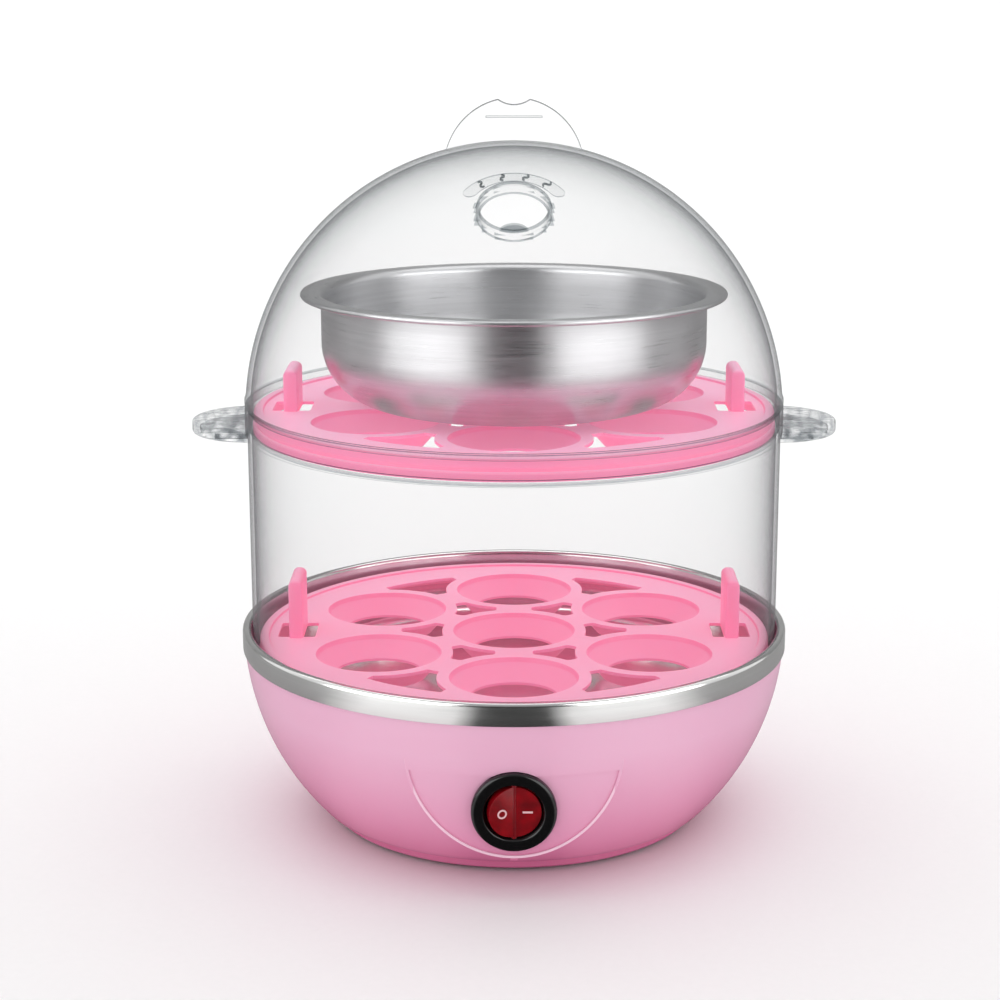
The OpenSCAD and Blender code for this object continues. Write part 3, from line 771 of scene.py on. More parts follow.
def wave(angle):
    """The two bends of one S-shaped steam mark, at an angle round the outlet."""
    bends = []
    for side in (-1, 1):
        inner, outer = WAVE_R - WAVE_LINE, WAVE_R + WAVE_LINE
        outline = [(inner, -9), (outer, -9), (outer, 9), (inner, 9), (inner, -9)]
        half = turn("wave_half", outline, steps=32)
        combine(half, block((4, 4, 30), (side * 2, 0, -15)), "INTERSECT")
        half.location = (0, (PANEL_R + side * WAVE_R) * MM, 0)
        settle(half).rotation_euler = (0, 0, math.radians(angle))
        bends.append(on_dome(settle(half)))
    return bends


panel = on_dome(bent_bar(PANEL_R, PANEL_HALF, PANEL_SPREAD))
combine(panel, dome_layer(PANEL_PROUD, 0.05), "INTERSECT")
panel.name = "lid_panel"
smooth(panel, 30)
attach(panel, "lid")
tell(panel)
waves = []
for angle in (-39, -13, 13, 39):
    for bend in wave(angle):
        waves.append(combine(bend, dome_layer(PANEL_PROUD + WAVE_PROUD, 0.0), "INTERSECT"))
smooth(lid, 30)
lid_marks = join(waves)
lid_marks.name = "steam_marks"
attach(lid_marks, "lid")
tell(lid_marks)
fit(lid, "dome_lid", "lid")

# %% [markdown]
# ## Switch
# The bezel is turned in the switch's own upright frame and then leaned onto the pod. Its
# inner edge falls in a cone to the rocker. The rocker is a ball cut by two planes, so it
# tips without ever touching its round opening.

# %% Switch bezel
ROCKER_R = 8.3
bezel = turn(
    "switch_bezel",
    [(ROCKER_R + 0.25, -13), (10, -13), (10, -1), (BEZEL_R - 0.2, -1), (BEZEL_R, -0.8),
     (BEZEL_R, 0.4)]
    + arc(BEZEL_R - 1.1, 0.4, 1.1, 0, 90, 6)
    + arc(ROCKER_R + 1.5, 0.7, 0.8, 90, 150, 4)
    + [(ROCKER_R + 0.25, -0.6), (ROCKER_R + 0.25, -13)],
    steps=96,
)
floor_disc = cylinder(10, 4, (0, 0, -17))
for x, y, wide, deep in [(-5, 0, 0.8, 4.8), (5, 0, 0.8, 4.8), (0, -6, 4.8, 0.8)]:
    combine(floor_disc, block((wide, deep, 8), (x, y, -19)), "DIFFERENCE")
claws = [soften(block((1.4, 5, 5), (s * 10, 0, -10)), 0.3) for s in (-1, 1)]
bezel = join([bezel, floor_disc] + claws)
on_pod(bezel)
smooth(bezel, 40)
fit(bezel, "switch_body", "base")

# %% [markdown]
# ## Rocker
# The lamp inside glows through a translucent red moulding. Its two faces meet in a
# shallow V, and each carries a raised mark: a circle on the off side and a bar on the on
# side. The marks are moulded with it, so they are small solids standing on the faces.

# %% Rocker
PIVOT_IN = 0.5
FACET = 10.0
FACE_Z = 0.9


def rocker_mark(kind):
    """A raised mark made flat at the origin, then put on its tilted face."""
    if kind == "circle":
        ring_section = [(1.0, -0.2), (1.5, -0.2), (1.5, 0.22), (1.0, 0.22), (1.0, -0.2)]
        mark = turn("mark", ring_section, steps=40)
        side = -1
    else:
        mark = block((3.1, 0.6, 0.42), (0, 0, -0.2))
        side = 1
    mark.rotation_euler = (0, math.radians(-side * FACET), 0)
    mark.location = (side * 3.9 * MM, 0, (FACE_Z + 3.9 * math.sin(math.radians(FACET))) * MM)
    return settle(mark)


def place_rocker(piece):
    """From the rocker's own frame, tipped to rest with the on side pressed in."""
    piece.rotation_euler = (0, math.radians(FACET), 0)
    piece.location = (0, 0, -PIVOT_IN * MM)
    return on_pod(settle(piece))


deselect()
bpy.ops.mesh.primitive_uv_sphere_add(segments=96, ring_count=64, radius=ROCKER_R * MM)
rocker = bpy.context.object
combine(rocker, cylinder(9, 12, (0, 0, -5)), "INTERSECT")
for side in (-1, 1):
    wedge = block((12.05, 24, 12), (side * 5.975, 0, 0))
    wedge.rotation_euler = (0, math.radians(-side * FACET), 0)
    wedge.location = (0, 0, FACE_Z * MM)
    combine(rocker, settle(wedge), "DIFFERENCE")
soften(rocker, 0.35, segments=3, angle=8)
pins = cylinder(1, 18.8, (0, 0, -9.4), steps=32)
pins.rotation_euler = (math.radians(90), 0, 0)
rocker = join([rocker, settle(pins), cylinder(1.5, 3, (0, 0, -7.4), steps=32)])
place_rocker(rocker)
smooth(rocker, 40)
rocker.name = "rocker_button"
fit(rocker, "switch_rocker", "rocker")

marks = join([rocker_mark("circle"), rocker_mark("bar")])
marks.name = "rocker_marks"
place_rocker(marks)
soften(marks, 0.08, segments=1)
smooth(marks, 40)
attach(marks, "rocker")
tell(marks)

# %% [markdown]
# ## Feet and cord gland
# Four rubber feet lift the foot ring just clear of the table. The gland is a stepped
# bush with ridges that grip the cord and let it bend without a sharp kink.

# %% Feet and gland
FOOT_XY = high("rubber_feet")[0] - 7
FOOT_TALL = high("rubber_feet")[2]
foot = turn(
    "rubber_foot",
    [(0, 0), (5.6, 0), (6.6, 0.5), (7, 1.2), (7, FOOT_TALL - 0.2), (6.8, FOOT_TALL),
     (0, FOOT_TALL)],
    steps=48,
)
smooth(foot, 40)
feet = copies_at(foot, [(sx * FOOT_XY, sy * FOOT_XY) for sx in (-1, 1) for sy in (-1, 1)])
feet.name = "rubber_feet_turned"
fit(feet, "rubber_feet", "base")

GLAND_BORE = 3.1
gland_outline = [(GLAND_BORE, -9), (6, -9), (6, -2.4), (4.4, -2.3), (4.4, 0.05)]
gland_outline += [(6.1, 0.05), (6.4, 0.4), (6.4, 1.4), (6.0, 1.8), (5.2, 1.8)]
for ridge in range(3):
    z = 2.2 + ridge * 1.7
    r = 5.2 - ridge * 0.3
    gland_outline += [(r - 0.9, z), (r - 0.9, z + 0.6), (r, z + 0.7), (r, z + 1.4)]
gland_outline += [(4.0, 7.6), (3.8, 8), (GLAND_BORE + 0.3, 8), (GLAND_BORE, 7.6), (GLAND_BORE, -9)]
gland = at_back(turn("cord_gland", gland_outline, steps=64), GLAND_Y)
smooth(gland, 40)
gland.name = "gland_ribbed"
fit(gland, "cord_gland", "base")

# %% [markdown]
# ## Finishes
# A moulded or brushed surface is never one flat colour. Each finish below is built from
# nodes that read the piece's own place in millimetres, so grain has its real size: a slow
# noise shifts colour and gloss a little over the whole piece, and a fine one lifts the
# surface by a few hundredths of a millimetre.

# %% Finish helpers
def srgb(red, green, blue):
    """A colour picked as 0 to 255 on a screen, as the linear numbers a shader takes."""
    def linear(v):
        v /= 255
        return v / 12.92 if v <= 0.04045 else ((v + 0.055) / 1.055) ** 2.4
    return (linear(red), linear(green), linear(blue), 1.0)


def new_finish(name):
    finish = bpy.data.materials.new(name)
    finish.use_nodes = True
    finish.node_tree.nodes.clear()
    return finish


def add(finish, kind, inputs=None, **settings):
    """Adds a node. Each input is a plain value, or another node's output to join to it."""
    made = finish.node_tree.nodes.new(kind)
    for key, value in settings.items():
        setattr(made, key, value)
    for socket, value in (inputs or {}).items():
        if isinstance(value, bpy.types.NodeSocket):
            finish.node_tree.links.new(value, made.inputs[socket])
        else:
            made.inputs[socket].default_value = value
    return made


def place_mm(finish, stretch=(1, 1, 1)):
    """The surface point in millimetres, stretched along each axis."""
    place = add(finish, "ShaderNodeTexCoord").outputs["Object"]
    scale = [1000 * v for v in stretch]
    return add(finish, "ShaderNodeMapping", {"Vector": place, "Scale": scale}).outputs[0]


def noise(finish, vector, size_mm, detail=3, rough=0.55):
    inputs = {"Vector": vector, "Scale": 1 / size_mm, "Detail": detail, "Roughness": rough}
    return add(finish, "ShaderNodeTexNoise", inputs).outputs["Fac"]


def remap(finish, value, low_out, high_out, low_in=0.3, high_in=0.7):
    inputs = {
        "Value": value, "From Min": low_in, "From Max": high_in,
        "To Min": low_out, "To Max": high_out,
    }
    return add(finish, "ShaderNodeMapRange", inputs).outputs[0]


def blend_colours(finish, factor, first, second):
    mix = add(finish, "ShaderNodeMix", data_type="RGBA")
    finish.node_tree.links.new(factor, mix.inputs[0])
    for socket, value in ((mix.inputs[6], first), (mix.inputs[7], second)):
        if isinstance(value, bpy.types.NodeSocket):
            finish.node_tree.links.new(value, socket)
        else:
            socket.default_value = value
    return mix.outputs[2]


def bump(finish, height, depth_mm, normal=None):
    inputs = {"Height": height, "Distance": depth_mm * MM, "Strength": 1.0}
    if normal is not None:
        inputs["Normal"] = normal
    return add(finish, "ShaderNodeBump", inputs).outputs[0]


def output(finish, shader):
    add(finish, "ShaderNodeOutputMaterial", {"Surface": shader})
    return finish


# %% [markdown]
# ## Moulded plastic
# Gloss plastic comes off a polished tool: almost smooth, with a slow unevenness like
# orange peel, a few dull handling marks, and a colour that shifts slightly with wall
# thickness. One builder makes every opaque plastic here, with its own numbers.

# %% Moulded plastic
def moulded(name, colour, deep, gloss, peel_mm=0.006, scatter=0.0, coat=0.0, grain_mm=0.0,
            painted_low_shade=None):
    """A plastic that drifts between colour and deep. gloss is its roughness, and
    painted_low_shade, when given, is a painted shade that the colour turns to towards the bottom."""
    finish = new_finish(name)
    place = place_mm(finish)
    slow = noise(finish, place, 38)
    tint = blend_colours(finish, remap(finish, slow, 0.0, 1.0, 0.1, 0.9), colour, deep)
    # Painted shade: the colour turns to painted_low_shade over the lowest 46 mm, where the base
    # sits in shade near the table.
    if painted_low_shade:
        height = add(finish, "ShaderNodeSeparateXYZ", {0: place}).outputs[2]
        tint = blend_colours(finish, remap(finish, height, 1.0, 0.0, 0, 46), tint, painted_low_shade)
    marks = noise(finish, place, 7, detail=6, rough=0.7)
    rough = remap(finish, marks, gloss * 0.98, gloss * 1.05)
    normal = bump(finish, noise(finish, place, 5.5, detail=1), peel_mm)
    if grain_mm:
        normal = bump(finish, noise(finish, place, 0.45, detail=2), grain_mm, normal)
    inputs = {
        "Base Color": tint, "Roughness": rough, "Normal": normal, "IOR": 1.49,
        "Coat Weight": coat, "Coat Roughness": 0.04,
    }
    if scatter:
        inputs["Subsurface Weight"] = scatter
        inputs["Subsurface Radius"] = (0.006, 0.003, 0.004)
        inputs["Subsurface Scale"] = 0.6
    return output(finish, add(finish, "ShaderNodeBsdfPrincipled", inputs).outputs[0])


# The shell's deeper pink low down is painted shade, not the plastic's own colour.
PINK_SHELL = moulded(
    "moulded_pink_shell", srgb(246, 190, 217), srgb(244, 185, 213), 0.26,
    peel_mm=0.003, scatter=0.1, painted_low_shade=srgb(229, 122, 168),
)
# A paler pink for the faces of the pod's lip: a painted highlight.
PAINTED_LIP_HIGHLIGHT = moulded("pink_lip_painted_highlight", srgb(253, 212, 230), srgb(251, 206, 226), 0.3)
BLACK_GLOSS = moulded("moulded_black", srgb(10, 10, 11), srgb(15, 14, 15), 0.16)
PHENOLIC = moulded("moulded_phenolic", srgb(70, 40, 26), srgb(54, 30, 20), 0.42, grain_mm=0.02)
NYLON = moulded("moulded_nylon", srgb(232, 229, 218), srgb(222, 217, 202), 0.4, scatter=0.2)
print("opaque plastics:", [m.name for m in (PINK_SHELL, BLACK_GLOSS, PHENOLIC, NYLON)])

# %% [markdown]
# ## Tray plastic
# The trays are a deeper, slightly see-through pink. Faces that turn away from level, the
# upright walls and the insides of the seats, take a redder pink as painted shade. Subsurface
# scattering carries light under edges, and the emission is painted light: the plates glow a
# little, so they stay bright where the cooker's own walls and trays shade them.

# %% Tray plastic
def tray_finish():
    finish = new_finish("pink_tray_painted_glow_and_shade")
    place = place_mm(finish)
    slow = noise(finish, place, 30)
    top = blend_colours(
        finish, remap(finish, slow, 0, 1, 0.1, 0.9), srgb(255, 190, 216), srgb(254, 184, 212)
    )
    # Painted shade: the colour deepens to a redder pink where a face turns away from level.
    facing_up = add(finish, "ShaderNodeSeparateXYZ", {
        0: add(finish, "ShaderNodeNewGeometry").outputs["Normal"]}).outputs[2]
    side = remap(finish, facing_up, 1.0, 0.0, 0.55, 0.95)
    colour = blend_colours(finish, side, top, srgb(250, 146, 184))
    marks = noise(finish, place, 6, detail=6, rough=0.7)
    normal = bump(finish, noise(finish, place, 7, detail=1), 0.005)
    # Emission Strength 0.27 is painted light: the plates glow though nothing in them is a lamp.
    shader = add(finish, "ShaderNodeBsdfPrincipled", {
        "Base Color": colour, "Roughness": remap(finish, marks, 0.34, 0.44), "Normal": normal,
        "IOR": 1.36, "Emission Color": colour, "Emission Strength": 0.27,
        "Subsurface Weight": 0.3, "Subsurface Radius": (0.008, 0.003, 0.004),
        "Subsurface Scale": 0.6,
    })
    return output(finish, shader.outputs[0])


TRAY_PINK_PAINTED_GLOW = tray_finish()
print("tray plastic:", TRAY_PINK_PAINTED_GLOW.name)

# %% [markdown]
# ## Clear plastic
# Real glass shading bends light, is slow and noisy, and hides what stands inside. A thin
# clear wall mostly lets light straight through, darkens where it is seen edge-on, and
# mirrors the lamps. So the finish mixes a see-through shader with a glossy one by how far
# the wall turns from the eye, and paints the edge-on darkening in: its see-through colour and
# the glossy one's base colour turn grey towards the edge, as painted shade.

# %% Clear plastic
def clear(name, body, edge, haze=0.02, ripple_mm=0.012, crystals=False):
    finish = new_finish(name)
    place = place_mm(finish)
    normal = bump(finish, noise(finish, place, 16, detail=1), ripple_mm)
    # With crystals, the cell borders blend to the grey edge colour: painted shade of the facets,
    # with a bump for their relief.
    if crystals:
        cells = add(finish, "ShaderNodeTexVoronoi", {
            "Vector": place, "Scale": 1 / 3.4, "Randomness": 1.0}, feature="F1").outputs
        normal = bump(finish, cells["Distance"], 0.5, normal)
        body = blend_colours(
            finish, remap(finish, cells["Distance"], 0, 1, 0.35, 0.75), body, edge)
    facing = add(finish, "ShaderNodeLayerWeight", {"Blend": 0.5, "Normal": normal})

    def edge_on(power):
        inputs = {0: facing.outputs["Facing"], 1: power}
        return add(finish, "ShaderNodeMath", inputs, operation="POWER").outputs[0]

    # Painted shade: the see-through colour turns pale grey, and then to the edge grey, where the
    # wall is seen edge-on.
    soft = blend_colours(finish, edge_on(2.0), body, srgb(246, 247, 247))
    through = blend_colours(finish, edge_on(9.0), soft, edge)
    scuffs = noise(finish, place, 9, detail=6, rough=0.75)
    gloss = add(finish, "ShaderNodeBsdfPrincipled", {
        "Base Color": edge, "Roughness": remap(finish, scuffs, haze, haze * 2.5),
        "Normal": normal, "IOR": 1.49, "Specular IOR Level": 1.0,
    })
    see = add(finish, "ShaderNodeBsdfTransparent", {"Color": through})
    share = remap(finish, edge_on(5.0), 0.03, 0.6, 0.0, 1.0)
    mix = add(finish, "ShaderNodeMixShader", {0: share, 1: see.outputs[0], 2: gloss.outputs[0]})
    return output(finish, mix.outputs[0])


CLEAR = clear("clear_plastic_wall", srgb(254, 254, 254), srgb(150, 153, 156))
# The edge and rim finishes paint a darker grey into the see-through colour: painted shade for rims
# and raised marks.
CLEAR_EDGE_PAINTED_SHADE = clear("clear_plastic_edge_painted_shade", srgb(196, 200, 202), srgb(110, 114, 117))
CLEAR_RIM_PAINTED_SHADE = clear("clear_plastic_rim_painted_shade", srgb(150, 153, 156), srgb(70, 74, 78))
CLEAR_EAR = clear(
    "clear_plastic_crystal", srgb(254, 254, 254), srgb(196, 199, 201), crystals=True)
print("clear plastics:", CLEAR.name, CLEAR_EDGE_PAINTED_SHADE.name, CLEAR_EAR.name)

# %% [markdown]
# ## Brushed and spun steel
# Spun sheet is polished while it turns, so its hairlines run round the axis. A noise that
# reads the radius and height finely, and the angle hardly at all, gives those lines on
# the wall and on the floor alike. The lines stretch highlights, which anisotropy copies.

# %% Brushed steel
def round_axis(finish, fine, along):
    """Radius and height in fine steps, angle in long ones: a vector for turned lines."""
    place = add(finish, "ShaderNodeTexCoord").outputs["Object"]
    split = add(finish, "ShaderNodeSeparateXYZ", {0: place}).outputs

    def maths(operation, a, b=0.0):
        return add(finish, "ShaderNodeMath", {0: a, 1: b}, operation=operation).outputs[0]

    squares = [maths("POWER", split[axis], 2.0) for axis in (0, 1)]
    radius = maths("SQRT", maths("ADD", *squares))
    angle = maths("ARCTAN2", split[1], split[0])
    return add(finish, "ShaderNodeCombineXYZ", {
        0: maths("MULTIPLY", radius, fine), 1: maths("MULTIPLY", angle, along),
        2: maths("MULTIPLY", split[2], fine)}).outputs[0]


def spun_steel(name, colour, gloss, line_mm, stretch):
    finish = new_finish(name)
    lines = noise(finish, round_axis(finish, 5200, 3.0), 1.0, detail=4, rough=0.6)
    bands = noise(finish, round_axis(finish, 700, 1.2), 1.0, detail=2)
    smears = noise(finish, place_mm(finish), 14, detail=5, rough=0.65)
    darker = [v * 0.9 for v in colour[:3]] + [1]
    tint = blend_colours(finish, remap(finish, bands, 0, 1), colour, darker)
    rough = add(finish, "ShaderNodeMath", {
        0: remap(finish, lines, gloss * 0.75, gloss * 1.3), 1: remap(finish, smears, -0.03, 0.05)},
        operation="ADD").outputs[0]
    normal = bump(finish, lines, line_mm)
    tangent = add(finish, "ShaderNodeTangent", direction_type="RADIAL", axis="Z").outputs[0]
    shader = add(finish, "ShaderNodeBsdfPrincipled", {
        "Base Color": tint, "Metallic": 1.0, "Roughness": rough, "Normal": normal,
        "Anisotropic": stretch, "Anisotropic Rotation": 0.25, "Tangent": tangent,
    })
    return output(finish, shader.outputs[0])


RIM_STEEL = spun_steel(
    "spun_steel_pan", (0.8, 0.8, 0.79, 1), 0.15, line_mm=0.003, stretch=0.5)
BOWL_STEEL = spun_steel(
    "spun_steel_bowl", (0.66, 0.66, 0.67, 1), 0.33, line_mm=0.0012, stretch=0.6)
print("steels:", RIM_STEEL.name, BOWL_STEEL.name)

# %% [markdown]
# ## Metals inside the base
# The hidden parts are plated, cast or stamped. Zinc has small crystals, a casting is
# grainy and dull, and brass tarnishes in patches. One builder covers all three.

# %% Other metals
def metal(name, colour, worn, gloss, patch_mm, grain_mm, grain_size_mm):
    finish = new_finish(name)
    place = place_mm(finish)
    patches = noise(finish, place, patch_mm, detail=5, rough=0.65)
    grain = noise(finish, place, grain_size_mm, detail=3)
    shader = add(finish, "ShaderNodeBsdfPrincipled", {
        "Base Color": blend_colours(finish, remap(finish, patches, 0, 1), colour, worn),
        "Metallic": 1.0, "Roughness": remap(finish, patches, gloss * 0.8, gloss * 1.4),
        "Normal": bump(finish, grain, grain_mm),
    })
    return output(finish, shader.outputs[0])


ZINC = metal("plated_zinc", (0.6, 0.62, 0.65, 1), (0.48, 0.5, 0.52, 1), 0.3, 5, 0.01, 0.7)
CAST = metal("sand_cast_aluminium", (0.62, 0.62, 0.62, 1), (0.5, 0.5, 0.5, 1), 0.5, 9, 0.05, 0.5)
BRASS = metal("stamped_brass", (0.76, 0.56, 0.26, 1), (0.5, 0.33, 0.14, 1), 0.28, 4, 0.008, 0.6)
print("metals:", ZINC.name, CAST.name, BRASS.name)

# %% [markdown]
# ## Rubber, silicone and lead insulation
# Soft rubbers are dull and finely grained, with a faint sheen at glancing angles and
# paler dust in patches. Lead insulation is the same, with a little more gloss.

# %% Rubbers
def rubber(name, colour, gloss=0.6, grain_mm=0.02, dust=0.25):
    finish = new_finish(name)
    place = place_mm(finish)
    dusty = [v + (0.5 - v) * dust for v in colour[:3]] + [1]
    patches = noise(finish, place, 6, detail=5, rough=0.7)
    shader = add(finish, "ShaderNodeBsdfPrincipled", {
        "Base Color": blend_colours(finish, remap(finish, patches, 0, 1, 0.45, 0.8), colour, dusty),
        "Roughness": remap(finish, patches, gloss, gloss * 1.3),
        "Normal": bump(finish, noise(finish, place, 0.3, detail=2), grain_mm),
        "Sheen Weight": 0.1, "Sheen Roughness": 0.5,
    })
    return output(finish, shader.outputs[0])


FOOT_RUBBER = rubber("rubber_feet_grey", srgb(120, 120, 122))
SILICONE = rubber("silicone_white", srgb(226, 226, 222), 0.5, dust=0.05)
SLEEVE = rubber("fibre_sleeve", srgb(222, 216, 196), 0.7, 0.05, dust=0.1)
LEADS = {
    "wire_brown": rubber("lead_brown", srgb(104, 60, 34), 0.45, 0.006, 0.05),
    "wire_black": rubber("lead_black", srgb(34, 34, 36), 0.45, 0.006, 0.05),
    "wire_blue": rubber("lead_blue", srgb(36, 86, 170), 0.45, 0.006, 0.05),
}
print("rubbers:", FOOT_RUBBER.name, SILICONE.name, SLEEVE.name, sorted(LEADS))


# %% [markdown]
# ## Striped earth lead
# The earth lead is green with a yellow stripe. A stripe could follow the lead's own
# length, but the lead is hidden inside the base, so a wave texture across the whole piece
# is enough and needs no map of the surface.

# %% Striped earth lead
def earth_lead():
    """Green insulation with a yellow stripe that wanders along it."""
    finish = new_finish("lead_green_yellow")
    place = place_mm(finish)
    wave = add(finish, "ShaderNodeTexWave", {
        "Vector": place, "Scale": 0.09, "Distortion": 1.5, "Detail": 0.0}).outputs["Fac"]
    stripe = remap(finish, wave, 0, 1, 0.48, 0.56)
    shader = add(finish, "ShaderNodeBsdfPrincipled", {
        "Base Color": blend_colours(finish, stripe, srgb(40, 128, 52), srgb(222, 200, 40)),
        "Roughness": remap(finish, noise(finish, place, 5), 0.4, 0.6),
        "Normal": bump(finish, noise(finish, place, 0.4), 0.006),
    })
    return output(finish, shader.outputs[0])


LEADS["wire_green"] = earth_lead()
print("leads:", sorted(LEADS))

# %% [markdown]
# ## Rocker and lamp
# The rocker is a deep, see-through red that darkens with depth. The neon lamp behind it
# is off. Light that enters the plastic and comes back redder is copied by subsurface
# scattering, and the low roughness gives the faces their polish.

# %% Rocker and lamp finishes
def rocker_red():
    finish = new_finish("translucent_red")
    place = place_mm(finish)
    depth = noise(finish, place, 5, detail=2)
    shader = add(finish, "ShaderNodeBsdfPrincipled", {
        "Base Color": blend_colours(
            finish, remap(finish, depth, 0, 1), srgb(150, 6, 20), srgb(112, 3, 14)),
        "Roughness": remap(finish, noise(finish, place, 2.5, detail=5), 0.12, 0.22),
        "Normal": bump(finish, noise(finish, place, 3, detail=1), 0.01),
        "Subsurface Weight": 0.4, "Subsurface Radius": (0.004, 0.0006, 0.0006),
        "Subsurface Scale": 0.6,
    })
    return output(finish, shader.outputs[0])


ROCKER_RED = rocker_red()
MARK_PALE = moulded("mark_pale_pink", srgb(246, 206, 210), srgb(240, 190, 196), 0.35)
LAMP = clear("neon_lamp_glass", srgb(250, 214, 180), srgb(200, 140, 100))
print("switch finishes:", ROCKER_RED.name, MARK_PALE.name, LAMP.name)

# %% [markdown]
# ## Putting the finishes on
# Every new piece first takes one finish over its whole surface. The next steps then pick
# out single faces that need another one.

# %% Putting the finishes on
def coat(piece, finish):
    piece.data.materials.clear()
    piece.data.materials.append(finish)


for piece, finish in [
    (shell, PINK_SHELL), (pan, RIM_STEEL), (low_tray, TRAY_PINK_PAINTED_GLOW), (up_tray, TRAY_PINK_PAINTED_GLOW),
    (ring, CLEAR), (ears, CLEAR_EAR), (bowl, BOWL_STEEL), (lid, CLEAR), (panel, CLEAR),
    (bezel, BLACK_GLOSS), (rocker, ROCKER_RED), (marks, MARK_PALE), (feet, FOOT_RUBBER),
    (gland, BLACK_GLOSS),
]:
    coat(piece, finish)
    print(f"{piece.name} has {finish.name}")

# %% [markdown]
# ## Edges of clear pieces
# Rims of clear plastic look greyer than walls, because light runs inside and leaves at them.
# That grey is painted shade: a second, greyer see-through finish goes on the faces of the
# grip's rim, the outlet, the panel's border and the lips, picked by their place and normal.

# %% Edges of clear pieces
def edge_faces(piece, finish, chosen):
    """Gives a second finish to the faces that chosen says yes to, from middle and normal."""
    piece.data.materials.append(finish)
    index = len(piece.data.materials) - 1
    count = 0
    for face in piece.data.polygons:
        if chosen(face.center * 1000, face.normal):
            face.material_index = index
            count += 1
    print(f"{piece.name}: {count} faces show as edges")


LEAN = math.radians(OUTLET_TILT)
OUT_DIRECTION = Vector((0, -math.sin(LEAN), math.cos(LEAN)))
OUTLET_MIDDLE = Vector((0, 0, DOME_C)) + OUT_DIRECTION * LID_R


def grip_edge(middle, normal):
    on_grip = abs(middle.y) < 2.5 and (middle - Vector((0, 0, DOME_C))).length > LID_R + 0.4
    return on_grip and abs(normal.y) < 0.997


def lid_edge(middle, normal):
    along = (middle - OUTLET_MIDDLE).dot(OUT_DIRECTION)
    across = ((middle - OUTLET_MIDDLE) - OUT_DIRECTION * along).length
    if across < OUTLET_R + 1.3 and abs(along) < 5:
        return abs(normal.dot(OUT_DIRECTION)) > 0.35 or along > 0.2
    return middle.z < LID_Z + 1.9 and abs(normal.z) > 0.5


def panel_edge(middle, normal):
    return abs(normal.dot((middle - Vector((0, 0, DOME_C))).normalized())) < 0.8


edge_faces(lid, CLEAR_EDGE_PAINTED_SHADE, lid_edge)
edge_faces(lid, CLEAR_RIM_PAINTED_SHADE, grip_edge)
edge_faces(panel, CLEAR_EDGE_PAINTED_SHADE, panel_edge)
edge_faces(ring, CLEAR_EDGE_PAINTED_SHADE, lambda middle, normal: abs(normal.z) > 0.5)
coat(lid_marks, CLEAR_EDGE_PAINTED_SHADE)


# %% [markdown]
# ## Painted highlight on the pod's lip
# The lip's faces take a paler pink, a painted highlight for the thin line of light that the
# lip catches round the U. Its faces are picked by their corners, which all
# lie between the two circles that bound the lip.

# %% Painted highlight on the pod's lip
def on_lip(point):
    along = -point.y - 50
    radius = math.hypot(point.x, point.z - POD_MIDDLE)
    return along > 18 and POD_R + 0.85 - 0.05 * along < radius < POD_R + 2.15 - 0.055 * along


shell.data.materials.append(PAINTED_LIP_HIGHLIGHT)
lip_highlight_faces = 0
for face in shell.data.polygons:
    if all(on_lip(shell.data.vertices[i].co * 1000) for i in face.vertices):
        face.material_index = 1
        lip_highlight_faces += 1
print("lip faces:", lip_highlight_faces)

# %% [markdown]
# ## Finishes of the engineering nodes
# The parts inside the base keep the engineering model's own mesh, which is already the
# right shape. Each only gets its finish, looked up by the material slot that the record
# gives it.

# %% Finishes of the engineering nodes
SLOT_FINISH = {
    "pink_shell": PINK_SHELL, "pink_tray": TRAY_PINK_PAINTED_GLOW, "clear_plastic": CLEAR,
    "brushed_steel": RIM_STEEL, "zinc_steel": ZINC, "cast_aluminium": CAST, "brass": BRASS,
    "grey_rubber": FOOT_RUBBER, "white_silicone": SILICONE, "black_plastic": BLACK_GLOSS,
    "red_rocker": ROCKER_RED, "lamp_glass": LAMP, "thermostat_body": PHENOLIC,
    "fuse_sleeve": SLEEVE, "cap_nylon": NYLON, **LEADS,
}
kept = 0
for subpart in frame["record"]["subparts"]:
    part = frame["nodes"][subpart["node"]]
    if part.hide_render:
        continue
    coat(part, SLOT_FINISH[subpart["material_slot"]])
    kept += 1
print("engineering nodes shown with their own mesh:", kept)

# %% [markdown]
# ## Studio
# The floor sweeps up behind the cooker without a corner, so it shows as plain paper. In
# polished metal it shows a painted reflection: for mirror-like rays only, by the Light Path
# node, the paper's colour is near black straight in front, pale at its two sides and grey
# further round, like a studio's dark and bright cards, which gives the rim its dark middle and
# bright flanks.

# %% Floor
deselect()
bpy.ops.mesh.primitive_plane_add(size=1)
floor = bpy.context.object
floor.name = "studio_floor"
floor.scale = (5, 2.6, 1)
floor.location = (0, 0, -0.0002)
settle(floor)
bpy.ops.object.mode_set(mode="EDIT")
bpy.ops.mesh.select_all(action="DESELECT")
bpy.ops.object.mode_set(mode="OBJECT")
for edge in floor.data.edges:
    ends = [floor.data.vertices[i].co.y for i in edge.vertices]
    edge.select = min(ends) > 1.2
bpy.ops.object.mode_set(mode="EDIT")
for degrees in range(9, 91, 9):
    step = (0, 0.07 * math.cos(math.radians(degrees)), 0.07 * math.sin(math.radians(degrees)))
    bpy.ops.mesh.extrude_region_move(TRANSFORM_OT_translate={"value": step})
bpy.ops.mesh.extrude_region_move(TRANSFORM_OT_translate={"value": (0, 0, 2.5)})
bpy.ops.object.mode_set(mode="OBJECT")
smooth(floor, 40)
paper = new_finish("studio_paper")
grain = noise(paper, place_mm(paper), 2.5, detail=3)
pale = blend_colours(paper, grain, (0.9, 0.9, 0.9, 1), (0.93, 0.93, 0.93, 1))
glossy = add(paper, "ShaderNodeLightPath").outputs["Is Glossy Ray"]
spot = add(paper, "ShaderNodeSeparateXYZ", {
    0: add(paper, "ShaderNodeTexCoord").outputs["Object"]}).outputs
